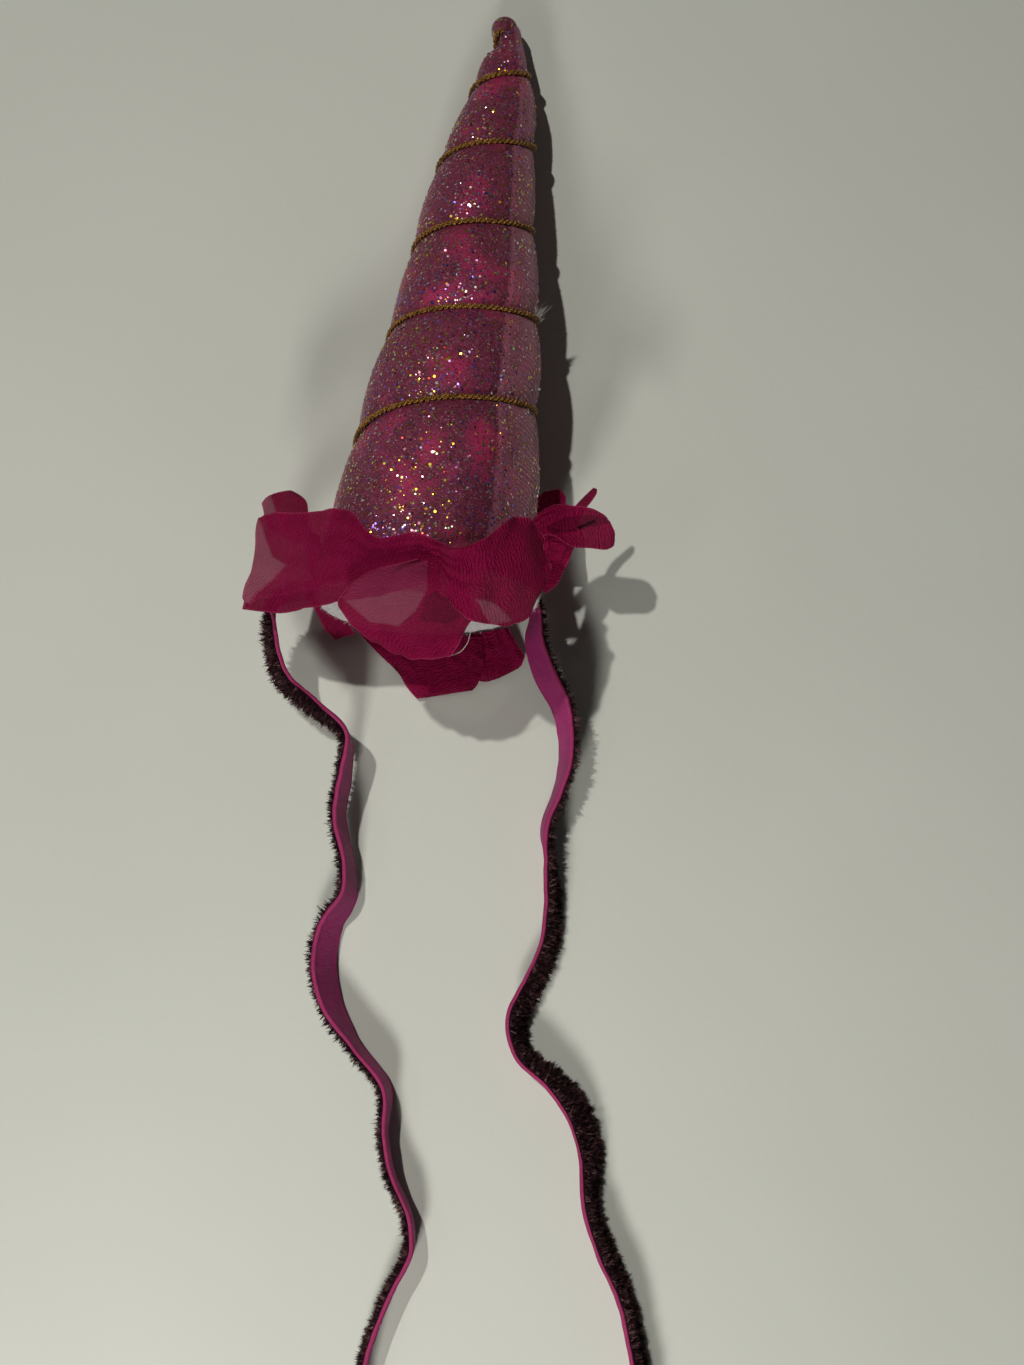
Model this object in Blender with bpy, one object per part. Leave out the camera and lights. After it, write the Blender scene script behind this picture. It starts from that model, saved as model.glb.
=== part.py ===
"""Unicorn horn headband: stuffed spiral horn, gold cord, felt base, chiffon petals and elastic loop.

It is built as it lies on a table: the horn on its side pointing to +Y, the loop standing on edge behind it.
Lengths are in metres, angles in degrees. Table lengths are shares of the size named above each table.
"""

import math

import bpy
import numpy as np

for leftover in list(bpy.data.objects):
    bpy.data.objects.remove(leftover, do_unlink=True)

# Horn sizes.
HORN_LENGTH = 0.1505
HORN_RADIUS = 0.0240
HORN_TURN = 6.9
TIP_HEIGHT = 0.0066
TURN_RUN_IN = 0.030
SPINE_BEND = 0.0016
GROOVE_LAG = 0.0020
LAG_SIDE = 0.09
PUFF_HEIGHT = 0.0022
PUFF_FADE = 0.4
PUFF_ROUNDNESS = 0.55
FLOOR_SHARE = 0.04
TIP_CAP = 0.0034
SIDES = 36

# Cord, base disc, petal and band sizes.
CORD_RADIUS = 0.00065
CORD_STANDOFF = 0.00105
CORD_START = 0.14
CORD_END = 5.95
CORD_SIDES = 5
DISC_OVERHANG = 0.0014
DISC_RADIUS = HORN_RADIUS + DISC_OVERHANG
DISC_CLEARANCE = 0.0016
BASE_HEIGHT = DISC_RADIUS + DISC_CLEARANCE
HORN_DIP = math.degrees(math.asin((BASE_HEIGHT - TIP_HEIGHT) / HORN_LENGTH))
DISC_THICKNESS = 0.0020
DISC_EDGE = 0.0005
DISC_SIDES = 40
BAND_WIDTH = 0.0100
BAND_THICKNESS = 0.0022
BAND_CHAMFER = 0.0005
BAND_RINGS = 132
BASE_SEAM = 0.0032
FLOWER_SPREAD = 1.875
FLOWER_RADIUS = FLOWER_SPREAD * HORN_RADIUS
PETAL_THICKNESS = 0.0010
PETAL_GAP = 0.0004
PETAL_ALONG = 9
PETAL_ACROSS = 6
LOOP_REACH = 0.216

# Groove floor along the horn: share of HORN_LENGTH, share of HORN_RADIUS.
HORN_PROFILE = [
    (0.00, 1.00),
    (0.12, 0.905),
    (0.25, 0.815),
    (0.40, 0.70),
    (0.55, 0.575),
    (0.70, 0.445),
    (0.82, 0.32),
    (0.90, 0.21),
    (0.95, 0.14),
    (1.00, 0.11),
]

# Sideways sway of the horn's spine: share of HORN_LENGTH, share of HORN_RADIUS to the right.
SPINE_SWAY = [
    (0.00, 0.000),
    (0.10, -0.015),
    (0.25, 0.005),
    (0.45, 0.030),
    (0.68, 0.010),
    (0.87, 0.075),
    (1.00, 0.010),
]

# Spiral groove: turns from the base, share of HORN_LENGTH reached.
SPIRAL = [
    (0.00, 0.000),
    (1.00, 0.258),
    (2.00, 0.421),
    (3.00, 0.579),
    (4.00, 0.732),
    (5.00, 0.872),
    (5.75, 0.945),
    (6.30, 1.000),
]

# Rows of the horn's mesh within one turn, close together beside the groove.
ROW_SHARES = [0.0, 0.04, 0.12, 0.31, 0.50, 0.69, 0.88, 0.96]

# Where the elastic crosses the base, left to right: side and rise as shares of DISC_RADIUS.
CROSSING = [
    (-1.05, -0.03),
    (-0.86, -0.07),
    (-0.45, -0.15),
    (0.00, -0.30),
    (0.45, -0.44),
    (0.82, -0.55),
    (0.97, -0.59),
]

# The rest of the loop, clockwise from there: side and back as shares of LOOP_REACH,
# lift above resting as a share of BAND_WIDTH, outward lean of the upper edge in degrees.
RIGHT_STRAND = [
    (0.116, -0.032, 0.70, 22),
    (0.128, -0.071, 0.60, 26),
    (0.144, -0.102, 0.53, 22),
    (0.151, -0.136, 0.41, 17),
    (0.150, -0.170, 0.26, 14),
    (0.142, -0.200, 0.14, 9),
    (0.128, -0.237, 0.03, 6),
    (0.131, -0.278, 0.00, -6),
    (0.134, -0.329, 0.00, -15),
    (0.130, -0.368, 0.00, -20),
    (0.113, -0.409, 0.00, -23),
    (0.094, -0.451, 0.00, -21),
    (0.101, -0.484, 0.00, -15),
    (0.132, -0.510, 0.00, -22),
    (0.157, -0.539, 0.00, -30),
    (0.174, -0.588, 0.00, -28),
    (0.174, -0.646, 0.00, -15),
    (0.189, -0.692, 0.00, -18),
    (0.210, -0.741, 0.00, -15),
    (0.223, -0.803, 0.00, -14),
]
FAR_BEND = [
    (0.229, -0.870, 0.00, -8),
    (0.194, -0.949, 0.00, 0),
    (0.083, -1.000, 0.00, 0),
    (-0.037, -0.944, 0.00, 0),
    (-0.076, -0.866, 0.00, 0),
]
LEFT_STRAND = [
    (-0.066, -0.801, 0.00, 0),
    (-0.043, -0.739, 0.00, 0),
    (-0.019, -0.685, 0.00, 0),
    (-0.023, -0.655, 0.00, 0),
    (-0.040, -0.616, 0.00, 0),
    (-0.049, -0.572, 0.00, 2),
    (-0.048, -0.523, 0.00, 7),
    (-0.081, -0.477, 0.00, 8),
    (-0.110, -0.427, 0.00, 25),
    (-0.118, -0.383, 0.00, 30),
    (-0.110, -0.344, 0.02, 26),
    (-0.091, -0.311, 0.17, 16),
    (-0.091, -0.280, 0.27, 10),
    (-0.101, -0.227, 0.41, 10),
    (-0.094, -0.177, 0.64, 8),
    (-0.092, -0.141, 0.81, 0),
    (-0.130, -0.107, 1.04, -12),
    (-0.159, -0.081, 1.24, -15),
    (-0.171, -0.041, 1.54, -15),
    (-0.166, -0.003, 1.86, -8),
    (-0.150, 0.006, 2.05, 3),
]

# Petals, ribs from the root out: side, back, height over the base's centre and half width
# as shares of FLOWER_RADIUS, heading of the rib in plan, its tilt upward, cup as a share of the half width.
PETALS = {
    "petal_left_front": [
        (0.066, 0.122, 0.656, 0.105, 96, 0, -0.05),
        (-0.39, 0.14, 0.48, 0.22, 85, -9, -0.10),
        (-0.90, 0.19, 0.11, 0.26, 82, 8, 0.12),
    ],
    "petal_left_back": [
        (-0.55, 0.22, 0.27, 0.07, 100, 0, 0.00),
        (-0.65, 0.39, 0.15, 0.12, 85, 6, 0.00),
        (-0.86, 0.47, 0.0, 0.12, 89, 20, 0.10),
    ],
    "petal_top": [
        (0.075, -0.02, 0.598, 0.055, -3, -3, -0.05),
        (-0.04, -0.085, 0.612, 0.19, -15, -8, -0.05),
        (-0.08, -0.19, 0.6, 0.34, -6, -7, -0.12),
        (0.00, -0.36, 0.42, 0.15, 8, -6, -0.15),
    ],
    "petal_right_front": [
        (0.165, 0.045, 0.74, 0.13, 85, -12, -0.05),
        (0.39, 0.04, 0.67, 0.29, 87, -8, -0.10),
        (0.61, 0.09, 0.42, 0.21, 90, -4, -0.15),
    ],
    "petal_right_tongue": [
        (0.64, 0.34, 0.20, 0.06, 92, 4, 0.00),
        (0.77, 0.34, 0.19, 0.10, 88, 0, 0.25),
        (0.92, 0.31, 0.15, 0.09, 81, 10, 0.30),
    ],
    "petal_right_back": [
        (0.67, 0.26, -0.24, 0.05, 0, 0, 0.00),
        (0.65, 0.46, -0.3, 0.07, 0, 0, 0.10),
        (0.625, 0.65, -0.35, 0.07, 0, 0, 0.10),
    ],
    "petal_right_spike": [
        (0.70, 0.33, -0.06, 0.06, -100, 82, 0.00),
        (0.78, 0.49, -0.03, 0.06, -104, 82, 0.10),
        (0.87, 0.58, 0.0, 0.04, -105, 81, 0.10),
    ],
    "petal_right_side": [
        (0.676, 0.26, 0.020, 0.064, 0, -29, 0.00),
        (0.655, 0.18, -0.050, 0.070, -2, -33, 0.10),
        (0.622, 0.06, -0.140, 0.050, 9, -42, 0.10),
    ],
    "petal_bottom_left": [
        (-0.09, -0.19, -0.5795, 0.27, -14, 1.2, 0.00),
        (-0.015, -0.28, -0.5805, 0.24, -4, 1.2, 0.00),
        (0.045, -0.425, -0.5825, 0.19, 6, 0.8, 0.00),
    ],
    "petal_bottom_right": [
        (0.245, -0.155, -0.531, 0.13, 20, 0, 0.00),
        (0.335, -0.21, -0.548, 0.16, 52, 0, 0.00),
        (0.46, -0.23, -0.5865, 0.10, 62, 0, 0.00),
    ],
    "petal_low_left": [
        (-0.565, -0.030, -0.28, 0.075, -40, -8, 0.00),
        (-0.555, -0.055, -0.39, 0.090, -40, -12, 0.00),
        (-0.540, -0.085, -0.50, 0.070, -40, -12, 0.00),
    ],
}

# Roots of the petals that are fastened to the horn: turns from its base, turns from the top line,
# half width as a share of FLOWER_RADIUS, heading, tilt, and how far its middle stands off as a share of
# that half width (1 where the root stands on its edge).
HORN_ROOTS = {
    "petal_left_back": (0.09, -0.170, 0.06, 104, 8, 0.48),
    "petal_right_front": (0.03, 0.025, 0.05, 85, -10, 0.22),
    "petal_right_tongue": (0.08, 0.190, 0.05, 98, 8, 0.22),
    "petal_right_spike": (0.19, 0.280, 0.05, -96, 82, 0.22),
    "petal_right_back": (0.21, 0.325, 0.05, 0, 0, 1.0),
}

# Roots of the petals that are fastened to the disc's rim: turns from the top line, then as above.
DISC_ROOTS = {
    "petal_top": (0.024, 0.055, -3, -2, 0.25),
    "petal_bottom_left": (0.530, 0.22, -16, 0, 0.06),
    "petal_bottom_right": (0.434, 0.068, 8, 14, 0.24),
    "petal_low_left": (-0.290, 0.05, -50, 0, 0.64),
}

# How round a petal's free end is: share of the half width that is left at the end.
PETAL_END = {
    "petal_left_front": 0.90,
    "petal_bottom_left": 0.85,
    "petal_bottom_right": 0.60,
    "petal_right_front": 0.45,
    "petal_right_tongue": 0.50,
    "petal_right_spike": 0.15,
}
PETAL_END_OTHERS = 0.30

# Colours of the materials, and their roughness.
FINISHES = {
    "glitter_fabric": ((0.24, 0.02, 0.09), 0.45),
    "gold_cord": ((0.55, 0.34, 0.09), 0.30),
    "white_felt": ((0.72, 0.70, 0.68), 0.90),
    "petal_chiffon": ((0.26, 0.005, 0.05), 0.70),
    "plush_elastic": ((0.30, 0.02, 0.16), 0.80),
}


def smooth(x, knots, values):
    """Cubic pieces through the table, each knot's slope taken from its neighbours."""
    knots = np.asarray(knots, float)
    values = np.asarray(values, float)
    slopes = np.gradient(values, knots, axis=0)
    x = np.clip(np.asarray(x, float), knots[0], knots[-1])
    i = np.clip(np.searchsorted(knots, x, side="right") - 1, 0, len(knots) - 2)
    gap = knots[i + 1] - knots[i]
    t = (x - knots[i]) / gap
    if values.ndim > 1:
        gap = gap[..., None]
        t = t[..., None]
    start = values[i] * (1 + 2 * t) + slopes[i] * gap * t
    end = values[i + 1] * (3 - 2 * t) - slopes[i + 1] * gap * (1 - t)
    return start * (1 - t) ** 2 + end * t**2


def make_object(name, points, faces, slot):
    """A smooth-shaded mesh object with one material."""
    mesh = bpy.data.meshes.new(name)
    mesh.from_pydata([tuple(p) for p in points], [], faces)
    mesh.validate()
    mesh.polygons.foreach_set("use_smooth", [True] * len(mesh.polygons))
    mesh.materials.append(bpy.data.materials[slot])
    thing = bpy.data.objects.new(name, mesh)
    bpy.context.scene.collection.objects.link(thing)
    return thing


def make_materials():
    """One Principled material for each finish."""
    for name, (colour, roughness) in FINISHES.items():
        material = bpy.data.materials.new(name)
        material.use_nodes = True
        shader = material.node_tree.nodes["Principled BSDF"]
        shader.inputs["Base Color"].default_value = (*colour, 1.0)
        shader.inputs["Roughness"].default_value = roughness
        if name == "gold_cord":
            shader.inputs["Metallic"].default_value = 0.8


def weld(points, faces):
    """Join points that share a place, and drop the faces that this closes up."""
    keys = np.round(np.asarray(points) / 1e-6).astype(np.int64)
    _, first, index = np.unique(keys, axis=0, return_index=True, return_inverse=True)
    index = index.reshape(-1)
    kept = []
    for face in faces:
        ring = [int(index[k]) for k in face]
        ring = [k for n, k in enumerate(ring) if k != ring[n - 1]]
        if len(set(ring)) == len(ring) and len(ring) > 2:
            kept.append(ring)
    return np.asarray(points)[first], kept


def horn_frame(length):
    """Spine point, right and up directions at a length along the horn.

    The base faces straight back. The spine turns by HORN_TURN over TURN_RUN_IN, dips by HORN_DIP, and sways.
    """
    length = np.asarray(length, float)
    dip = np.radians(HORN_DIP)
    turn = np.radians(HORN_TURN)
    forward = np.array([np.sin(turn) * np.cos(dip), np.cos(turn) * np.cos(dip), -np.sin(dip)])
    share = np.clip(length / TURN_RUN_IN, 0, 1)
    now = turn * share * share * (3 - 2 * share)
    right = np.stack([np.cos(now), -np.sin(now), 0 * now], -1)
    ahead = np.stack([np.sin(now) * np.cos(dip), np.cos(now) * np.cos(dip), 0 * now - np.sin(dip)], -1)
    up = np.cross(right, ahead)
    part = np.clip(length / HORN_LENGTH, 0, 1)
    bend = 4 * SPINE_BEND * part * (1 - part)
    sway = np.array(SPINE_SWAY)
    sway = smooth(part, sway[:, 0], sway[:, 1]) * HORN_RADIUS
    start = np.array([0, BASE_SEAM + 0.5 * DISC_THICKNESS, BASE_HEIGHT])
    spine = start + length[..., None] * forward + sway[..., None] * right
    spine = spine + bend[..., None] * np.array([0, 0, 1])
    return spine, right, up


def groove_radius(length):
    """Radius of the groove floor, rounded off at the tip."""
    table = np.array(HORN_PROFILE)
    radius = smooth(length / HORN_LENGTH, table[:, 0], table[:, 1]) * HORN_RADIUS
    into_cap = np.clip((length - HORN_LENGTH + TIP_CAP) / TIP_CAP, 0, 1)
    return radius * np.sqrt(1 - into_cap**2)


def spiral_length(turns, angle):
    """Length along the horn that the groove has reached after a number of turns.

    The groove lags most near the top line, LAG_SIDE of a turn to the right, and not at all at the two ends.
    """
    table = np.array(SPIRAL)
    share = smooth(turns, table[:, 0], table[:, 1])
    lag = 4 * share * (1 - share) * np.cos(2 * np.pi * (angle - LAG_SIDE))
    return share * HORN_LENGTH - lag * GROOVE_LAG


def puff_height(turns, angle):
    """How far the stuffing swells out over the groove floor, between one turn of the groove and the next."""
    share = np.mod(turns - angle, 1.0)
    rise = np.clip((share - FLOOR_SHARE) / (1 - 2 * FLOOR_SHARE), 0, 1)
    fade = (groove_radius(spiral_length(turns, angle)) / HORN_RADIUS) ** PUFF_FADE
    return PUFF_HEIGHT * fade * (1 - (2 * rise - 1) ** 2) ** PUFF_ROUNDNESS


def horn_point(turns, angle, lift):
    """Point at the length of a turn count, at an angle in turns from the top line, lifted off the groove."""
    length = spiral_length(turns, angle)
    spine, right, up = horn_frame(length)
    radius = (groove_radius(length) + lift)[..., None]
    way = 2 * np.pi * np.asarray(angle, float)[..., None]
    return spine + radius * (np.sin(way) * right + np.cos(way) * up)


def build_horn():
    """Puffs between the turns of a spiral groove: rows follow the groove, so each ridge is even."""
    rows = len(ROW_SHARES)
    last = SPIRAL[-1][0]
    count = int(np.ceil(last)) * rows
    row = np.arange(-rows, count + 1)
    column = np.arange(SIDES)
    phase = row // rows + np.array(ROW_SHARES)[row % rows]
    turns = np.clip(phase[:, None] + column[None, :] / SIDES, 0, last)
    angle = np.broadcast_to(column / SIDES, turns.shape)
    puff = puff_height(turns, angle)
    puff[turns >= last] = 0
    points = horn_point(turns, angle, puff).reshape(-1, 3)
    high = len(row) - 1
    faces = []
    for r in range(high):
        for c in range(SIDES):
            if c + 1 < SIDES:
                a, b = r * SIDES + c + 1, (r + 1) * SIDES + c + 1
            else:
                a, b = min(r + rows, high) * SIDES, min(r + 1 + rows, high) * SIDES
            faces.append((r * SIDES + c, a, b, (r + 1) * SIDES + c))
    points, faces = weld(points, faces)
    spine, _, _ = horn_frame(np.array([0.0]))
    return close_base(points, faces, spine[0])


def close_base(points, faces, centre):
    """Close the open base ring with a fan to its centre."""
    edges = set()
    for face in faces:
        for n, k in enumerate(face):
            edges.add((face[n - 1], k))
    rim = [(a, b) for a, b in edges if (b, a) not in edges]
    points = np.vstack([points, centre])
    hub = len(points) - 1
    faces = faces + [(b, a, hub) for a, b in rim]
    return make_object("horn", points, faces, "glitter_fabric")


def tube(name, centres, sides_a, sides_b, section, slot, closed):
    """Sweep a section, given in the two side directions, along a line of centres."""
    rings = centres[:, None, :] + section[None, :, 0:1] * sides_a[:, None, :]
    rings = rings + section[None, :, 1:2] * sides_b[:, None, :]
    count, around = rings.shape[:2]
    faces = []
    for r in range(count if closed else count - 1):
        for k in range(around):
            n = (k + 1) % around
            s = (r + 1) % count
            faces.append((r * around + k, s * around + k, s * around + n, r * around + n))
    if not closed:
        faces.append(tuple(range(around)))
        faces.append(tuple(reversed(range((count - 1) * around, count * around))))
    return make_object(name, rings.reshape(-1, 3), faces, slot)


def build_cord():
    """A round cord that lies in the groove, just clear of its floor."""
    steps = int(round((CORD_END - CORD_START) * SIDES))
    turns = CORD_START + np.arange(steps + 1) / SIDES
    turns = np.round(turns * SIDES) / SIDES
    angle = np.mod(turns, 1.0)
    centres = horn_point(turns, angle, np.full(turns.shape, CORD_STANDOFF))
    spine, _, _ = horn_frame(spiral_length(turns, angle))
    along = np.gradient(centres, axis=0)
    along /= np.linalg.norm(along, axis=1)[:, None]
    out = centres - spine
    out -= along * np.sum(out * along, axis=1)[:, None]
    out /= np.linalg.norm(out, axis=1)[:, None]
    side = np.cross(along, out)
    way = 2 * np.pi * np.arange(CORD_SIDES) / CORD_SIDES
    section = CORD_RADIUS * np.stack([np.sin(way), np.cos(way)], -1)
    return tube("gold_cord", centres, -side, out, section, "gold_cord", False)


def base_plane():
    """Centre, right, up and backward directions of the horn's base."""
    spine, right, up = horn_frame(np.array([0.0]))
    return spine[0], right[0], up[0], np.cross(right[0], up[0])


def build_disc():
    """The felt disc behind the band, its two rims eased."""
    centre, right, up, back = base_plane()
    near = BASE_SEAM
    far = near + DISC_THICKNESS
    way = 2 * np.pi * np.arange(DISC_SIDES) / DISC_SIDES
    rim = np.cos(way)[:, None] * right - np.sin(way)[:, None] * up
    profile = [(near, DISC_RADIUS - DISC_EDGE), (near + DISC_EDGE, DISC_RADIUS)]
    profile += [(far - DISC_EDGE, DISC_RADIUS), (far, DISC_RADIUS - DISC_EDGE)]
    points = np.vstack([centre + depth * back + radius * rim for depth, radius in profile])
    faces = []
    for r in range(len(profile) - 1):
        for k in range(DISC_SIDES):
            n = (k + 1) % DISC_SIDES
            low, high = r * DISC_SIDES, (r + 1) * DISC_SIDES
            faces.append((low + n, low + k, high + k, high + n))
    faces.append(tuple(range(DISC_SIDES)))
    faces.append(tuple(reversed(range(3 * DISC_SIDES, 4 * DISC_SIDES))))
    return make_object("base_disc", points, faces, "white_felt")


def band_route():
    """Rows of centre and lean around the loop: in the base's seam first, then down and along the table."""
    centre, right, up, back = base_plane()
    crossing = np.array(CROSSING) * DISC_RADIUS
    seam = centre + 0.5 * BASE_SEAM * back + crossing[:, :1] * right + crossing[:, 1:] * up
    seam = np.column_stack([seam, np.full(len(seam), HORN_DIP)])
    rows = np.array(RIGHT_STRAND + FAR_BEND + LEFT_STRAND, float)
    lean = np.radians(rows[:, 3])
    rest = 0.5 * (BAND_WIDTH * np.cos(lean) + BAND_THICKNESS * np.abs(np.sin(lean)))
    height = rest + rows[:, 2] * BAND_WIDTH
    return np.vstack([seam, np.column_stack([rows[:, :2] * LOOP_REACH, height, rows[:, 3]])])


def build_band():
    """The flat elastic, one closed loop on its edge: it crosses the base between horn and disc."""
    line = band_route()
    pad = 3
    line = np.vstack([line[-pad:], line, line[: pad + 1]])
    knots = np.r_[0, np.cumsum(np.linalg.norm(np.diff(line[:, :2], axis=0), axis=1))]
    place = np.linspace(knots[pad], knots[-pad - 1], BAND_RINGS, endpoint=False)
    line = smooth(place, knots, line)
    centres = line[:, :3]
    along = np.roll(centres, -1, axis=0) - np.roll(centres, 1, axis=0)
    along /= np.linalg.norm(along, axis=1)[:, None]
    outward = np.column_stack([-along[:, 1], along[:, 0], 0 * along[:, 0]])
    outward /= np.linalg.norm(outward, axis=1)[:, None]
    lean = np.radians(line[:, 3])[:, None]
    upward = np.cos(lean) * np.array([0, 0, 1]) + np.sin(lean) * outward
    upward -= along * np.sum(upward * along, axis=1)[:, None]
    upward /= np.linalg.norm(upward, axis=1)[:, None]
    face = np.cross(along, upward)
    half = 0.5 * np.array([BAND_THICKNESS, BAND_WIDTH])
    ease = half - BAND_CHAMFER
    section = np.array(
        [
            (half[0], -ease[1]),
            (half[0], ease[1]),
            (ease[0], half[1]),
            (-ease[0], half[1]),
            (-half[0], ease[1]),
            (-half[0], -ease[1]),
            (-ease[0], -half[1]),
            (ease[0], -half[1]),
        ]
    )
    return tube("elastic_band", centres, face, upward, section, "plush_elastic", True)


def petal_ribs(name):
    """Ribs of a petal in metres and degrees: its seat on the horn or the disc first, then its table."""
    ribs = np.array(PETALS[name], float)
    ribs[:, :4] *= FLOWER_RADIUS
    ribs[:, 2] += BASE_HEIGHT
    if name in HORN_ROOTS:
        turns, angle, half, heading, tilt, stand_off = HORN_ROOTS[name]
    elif name in DISC_ROOTS:
        angle, half, heading, tilt, stand_off = DISC_ROOTS[name]
    else:
        return ribs
    half *= FLOWER_RADIUS
    lift = PETAL_GAP + stand_off * half
    if name in HORN_ROOTS:
        turns, angle = np.array([turns]), np.array([angle])
        seat = horn_point(turns, angle, puff_height(turns, angle) + lift)[0]
    else:
        centre, right, up, back = base_plane()
        way = 2 * np.pi * angle
        seat = centre + (BASE_SEAM + 0.5 * DISC_THICKNESS) * back
        seat = seat + (DISC_RADIUS + lift) * (np.sin(way) * right + np.cos(way) * up)
    return np.vstack([[*seat, half, heading, tilt, 0.0], ribs])


def petal_surface(ribs, end_share):
    """Middle surface of a petal through its ribs, with a rounded free end."""
    centres = ribs[:, :3]
    steps = np.r_[0, np.cumsum(np.linalg.norm(np.diff(centres, axis=0), axis=1))]
    knots = steps / steps[-1]
    u = np.linspace(0, 1, PETAL_ALONG + 1)
    v = np.linspace(-1, 1, PETAL_ACROSS + 1)
    centre = smooth(u, knots, centres)
    half, heading, tilt, cup = smooth(u, knots, ribs[:, 3:]).T
    round_off = np.clip((u - 0.6) / 0.4, 0, 1)
    half = half * np.sqrt(1 - (1 - end_share**2) * round_off**2)
    heading, tilt = np.radians(heading), np.radians(tilt)
    across = np.column_stack([np.cos(heading) * np.cos(tilt), np.sin(heading) * np.cos(tilt), np.sin(tilt)])
    normal = np.cross(np.gradient(centre, axis=0), across)
    normal /= np.linalg.norm(normal, axis=1)[:, None]
    normal *= 1 if normal[len(u) // 2, 2] > 0 else -1
    spread = (half[:, None] * v[None, :])[..., None] * across[:, None, :]
    dish = ((cup * half)[:, None] * (v**2 - 1 / 3)[None, :])[..., None] * normal[:, None, :]
    return centre[:, None, :] + spread + dish


def build_petal(name, ribs, end_share):
    """A cloth petal: its middle surface thickened both ways into one closed sheet."""
    middle = petal_surface(ribs, end_share)
    along, across = middle.shape[:2]
    normal = np.cross(np.gradient(middle, axis=0), np.gradient(middle, axis=1))
    normal /= np.linalg.norm(normal, axis=2)[..., None]
    offset = 0.5 * PETAL_THICKNESS * normal
    points = np.vstack([(middle + offset).reshape(-1, 3), (middle - offset).reshape(-1, 3)])
    lower = along * across
    faces = []
    for r in range(along - 1):
        for k in range(across - 1):
            ring = [r * across + k, (r + 1) * across + k, (r + 1) * across + k + 1, r * across + k + 1]
            faces.append(tuple(ring))
            faces.append(tuple(lower + i for i in reversed(ring)))
    rim = [r * across for r in range(along)]
    rim += [(along - 1) * across + k for k in range(1, across)]
    rim += [r * across + across - 1 for r in range(along - 2, -1, -1)]
    rim += [k for k in range(across - 2, 0, -1)]
    for n, k in enumerate(rim):
        faces.append((rim[n - 1], lower + rim[n - 1], lower + k, k))
    return make_object(name, points, faces, "petal_chiffon")


def centre_on_floor(things):
    """Move all meshes so that their common box stands on z = 0 and is centred in plan."""
    corners = np.vstack([np.array([tuple(v.co) for v in thing.data.vertices]) for thing in things])
    low, high = corners.min(axis=0), corners.max(axis=0)
    shift = np.array([-(low[0] + high[0]) / 2, -(low[1] + high[1]) / 2, -low[2]])
    for thing in things:
        for vertex in thing.data.vertices:
            vertex.co = [vertex.co[k] + shift[k] for k in range(3)]
    return shift


make_materials()
pieces = [build_horn(), build_cord(), build_disc(), build_band()]
for petal in PETALS:
    pieces.append(build_petal(petal, petal_ribs(petal), PETAL_END.get(petal, PETAL_END_OTHERS)))
centre_on_floor(pieces)
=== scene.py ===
"""Unicorn horn headband on a pale table: glitter horn, gold cord, felt base, chiffon petals, plush elastic.

Lengths are in metres and angles in degrees. The shapes are worked out around the centre of the felt disc in
plan, with heights from the table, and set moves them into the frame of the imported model.
"""

import math

import bpy
import numpy as np
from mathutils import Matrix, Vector


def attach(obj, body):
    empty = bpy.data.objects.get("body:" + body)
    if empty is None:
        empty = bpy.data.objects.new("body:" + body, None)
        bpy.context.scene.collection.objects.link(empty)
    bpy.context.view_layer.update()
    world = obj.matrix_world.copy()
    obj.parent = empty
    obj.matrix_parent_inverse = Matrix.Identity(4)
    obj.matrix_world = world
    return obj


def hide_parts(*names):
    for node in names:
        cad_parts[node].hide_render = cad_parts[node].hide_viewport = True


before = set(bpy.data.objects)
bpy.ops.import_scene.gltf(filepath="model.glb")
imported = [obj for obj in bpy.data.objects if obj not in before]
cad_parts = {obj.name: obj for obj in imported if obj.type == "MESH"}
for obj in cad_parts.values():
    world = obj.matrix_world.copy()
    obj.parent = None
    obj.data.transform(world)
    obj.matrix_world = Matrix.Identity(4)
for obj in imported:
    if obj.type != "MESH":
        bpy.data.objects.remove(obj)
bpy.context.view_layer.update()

set_off = np.array([-0.00434, 0.03241, 0.00002])

# Horn.
HORN_LENGTH = 0.1505
HORN_RADIUS = 0.0240
HORN_TURN = 6.9
BASE_HEIGHT = 0.0270
TIP_HEIGHT = 0.0066
TURN_RUN_IN = 0.030
SPINE_BEND = 0.0016
GROOVE_LAG = 0.0020
LAG_SIDE = 0.09
PUFF_HEIGHT = 0.0022
PUFF_FADE = 0.4
PUFF_ROUNDNESS = 0.55
TIP_CAP = 0.0034
BASE_SEAM = 0.0032
SEAM_SIDE = 0.092

# Disc, band and petals.
DISC_RADIUS = 0.0254
DISC_THICKNESS = 0.0020
BAND_WIDTH = 0.0100
BAND_THICKNESS = 0.0022
WEB_THICKNESS = 0.0010
LOOP_REACH = 0.216
FLOWER_RADIUS = 0.0450

HORN_PROFILE = [
    (0.00, 1.00),
    (0.12, 0.905),
    (0.25, 0.815),
    (0.40, 0.70),
    (0.55, 0.575),
    (0.70, 0.445),
    (0.82, 0.32),
    (0.90, 0.21),
    (0.95, 0.14),
    (1.00, 0.11),
]
SPINE_SWAY = [
    (0.00, 0.000),
    (0.10, -0.015),
    (0.25, 0.005),
    (0.45, 0.030),
    (0.68, 0.010),
    (0.87, 0.075),
    (1.00, 0.010),
]
SPIRAL = [
    (0.00, 0.000),
    (1.00, 0.258),
    (2.00, 0.421),
    (3.00, 0.579),
    (4.00, 0.732),
    (5.00, 0.872),
    (5.75, 0.945),
    (6.30, 1.000),
]


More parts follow.
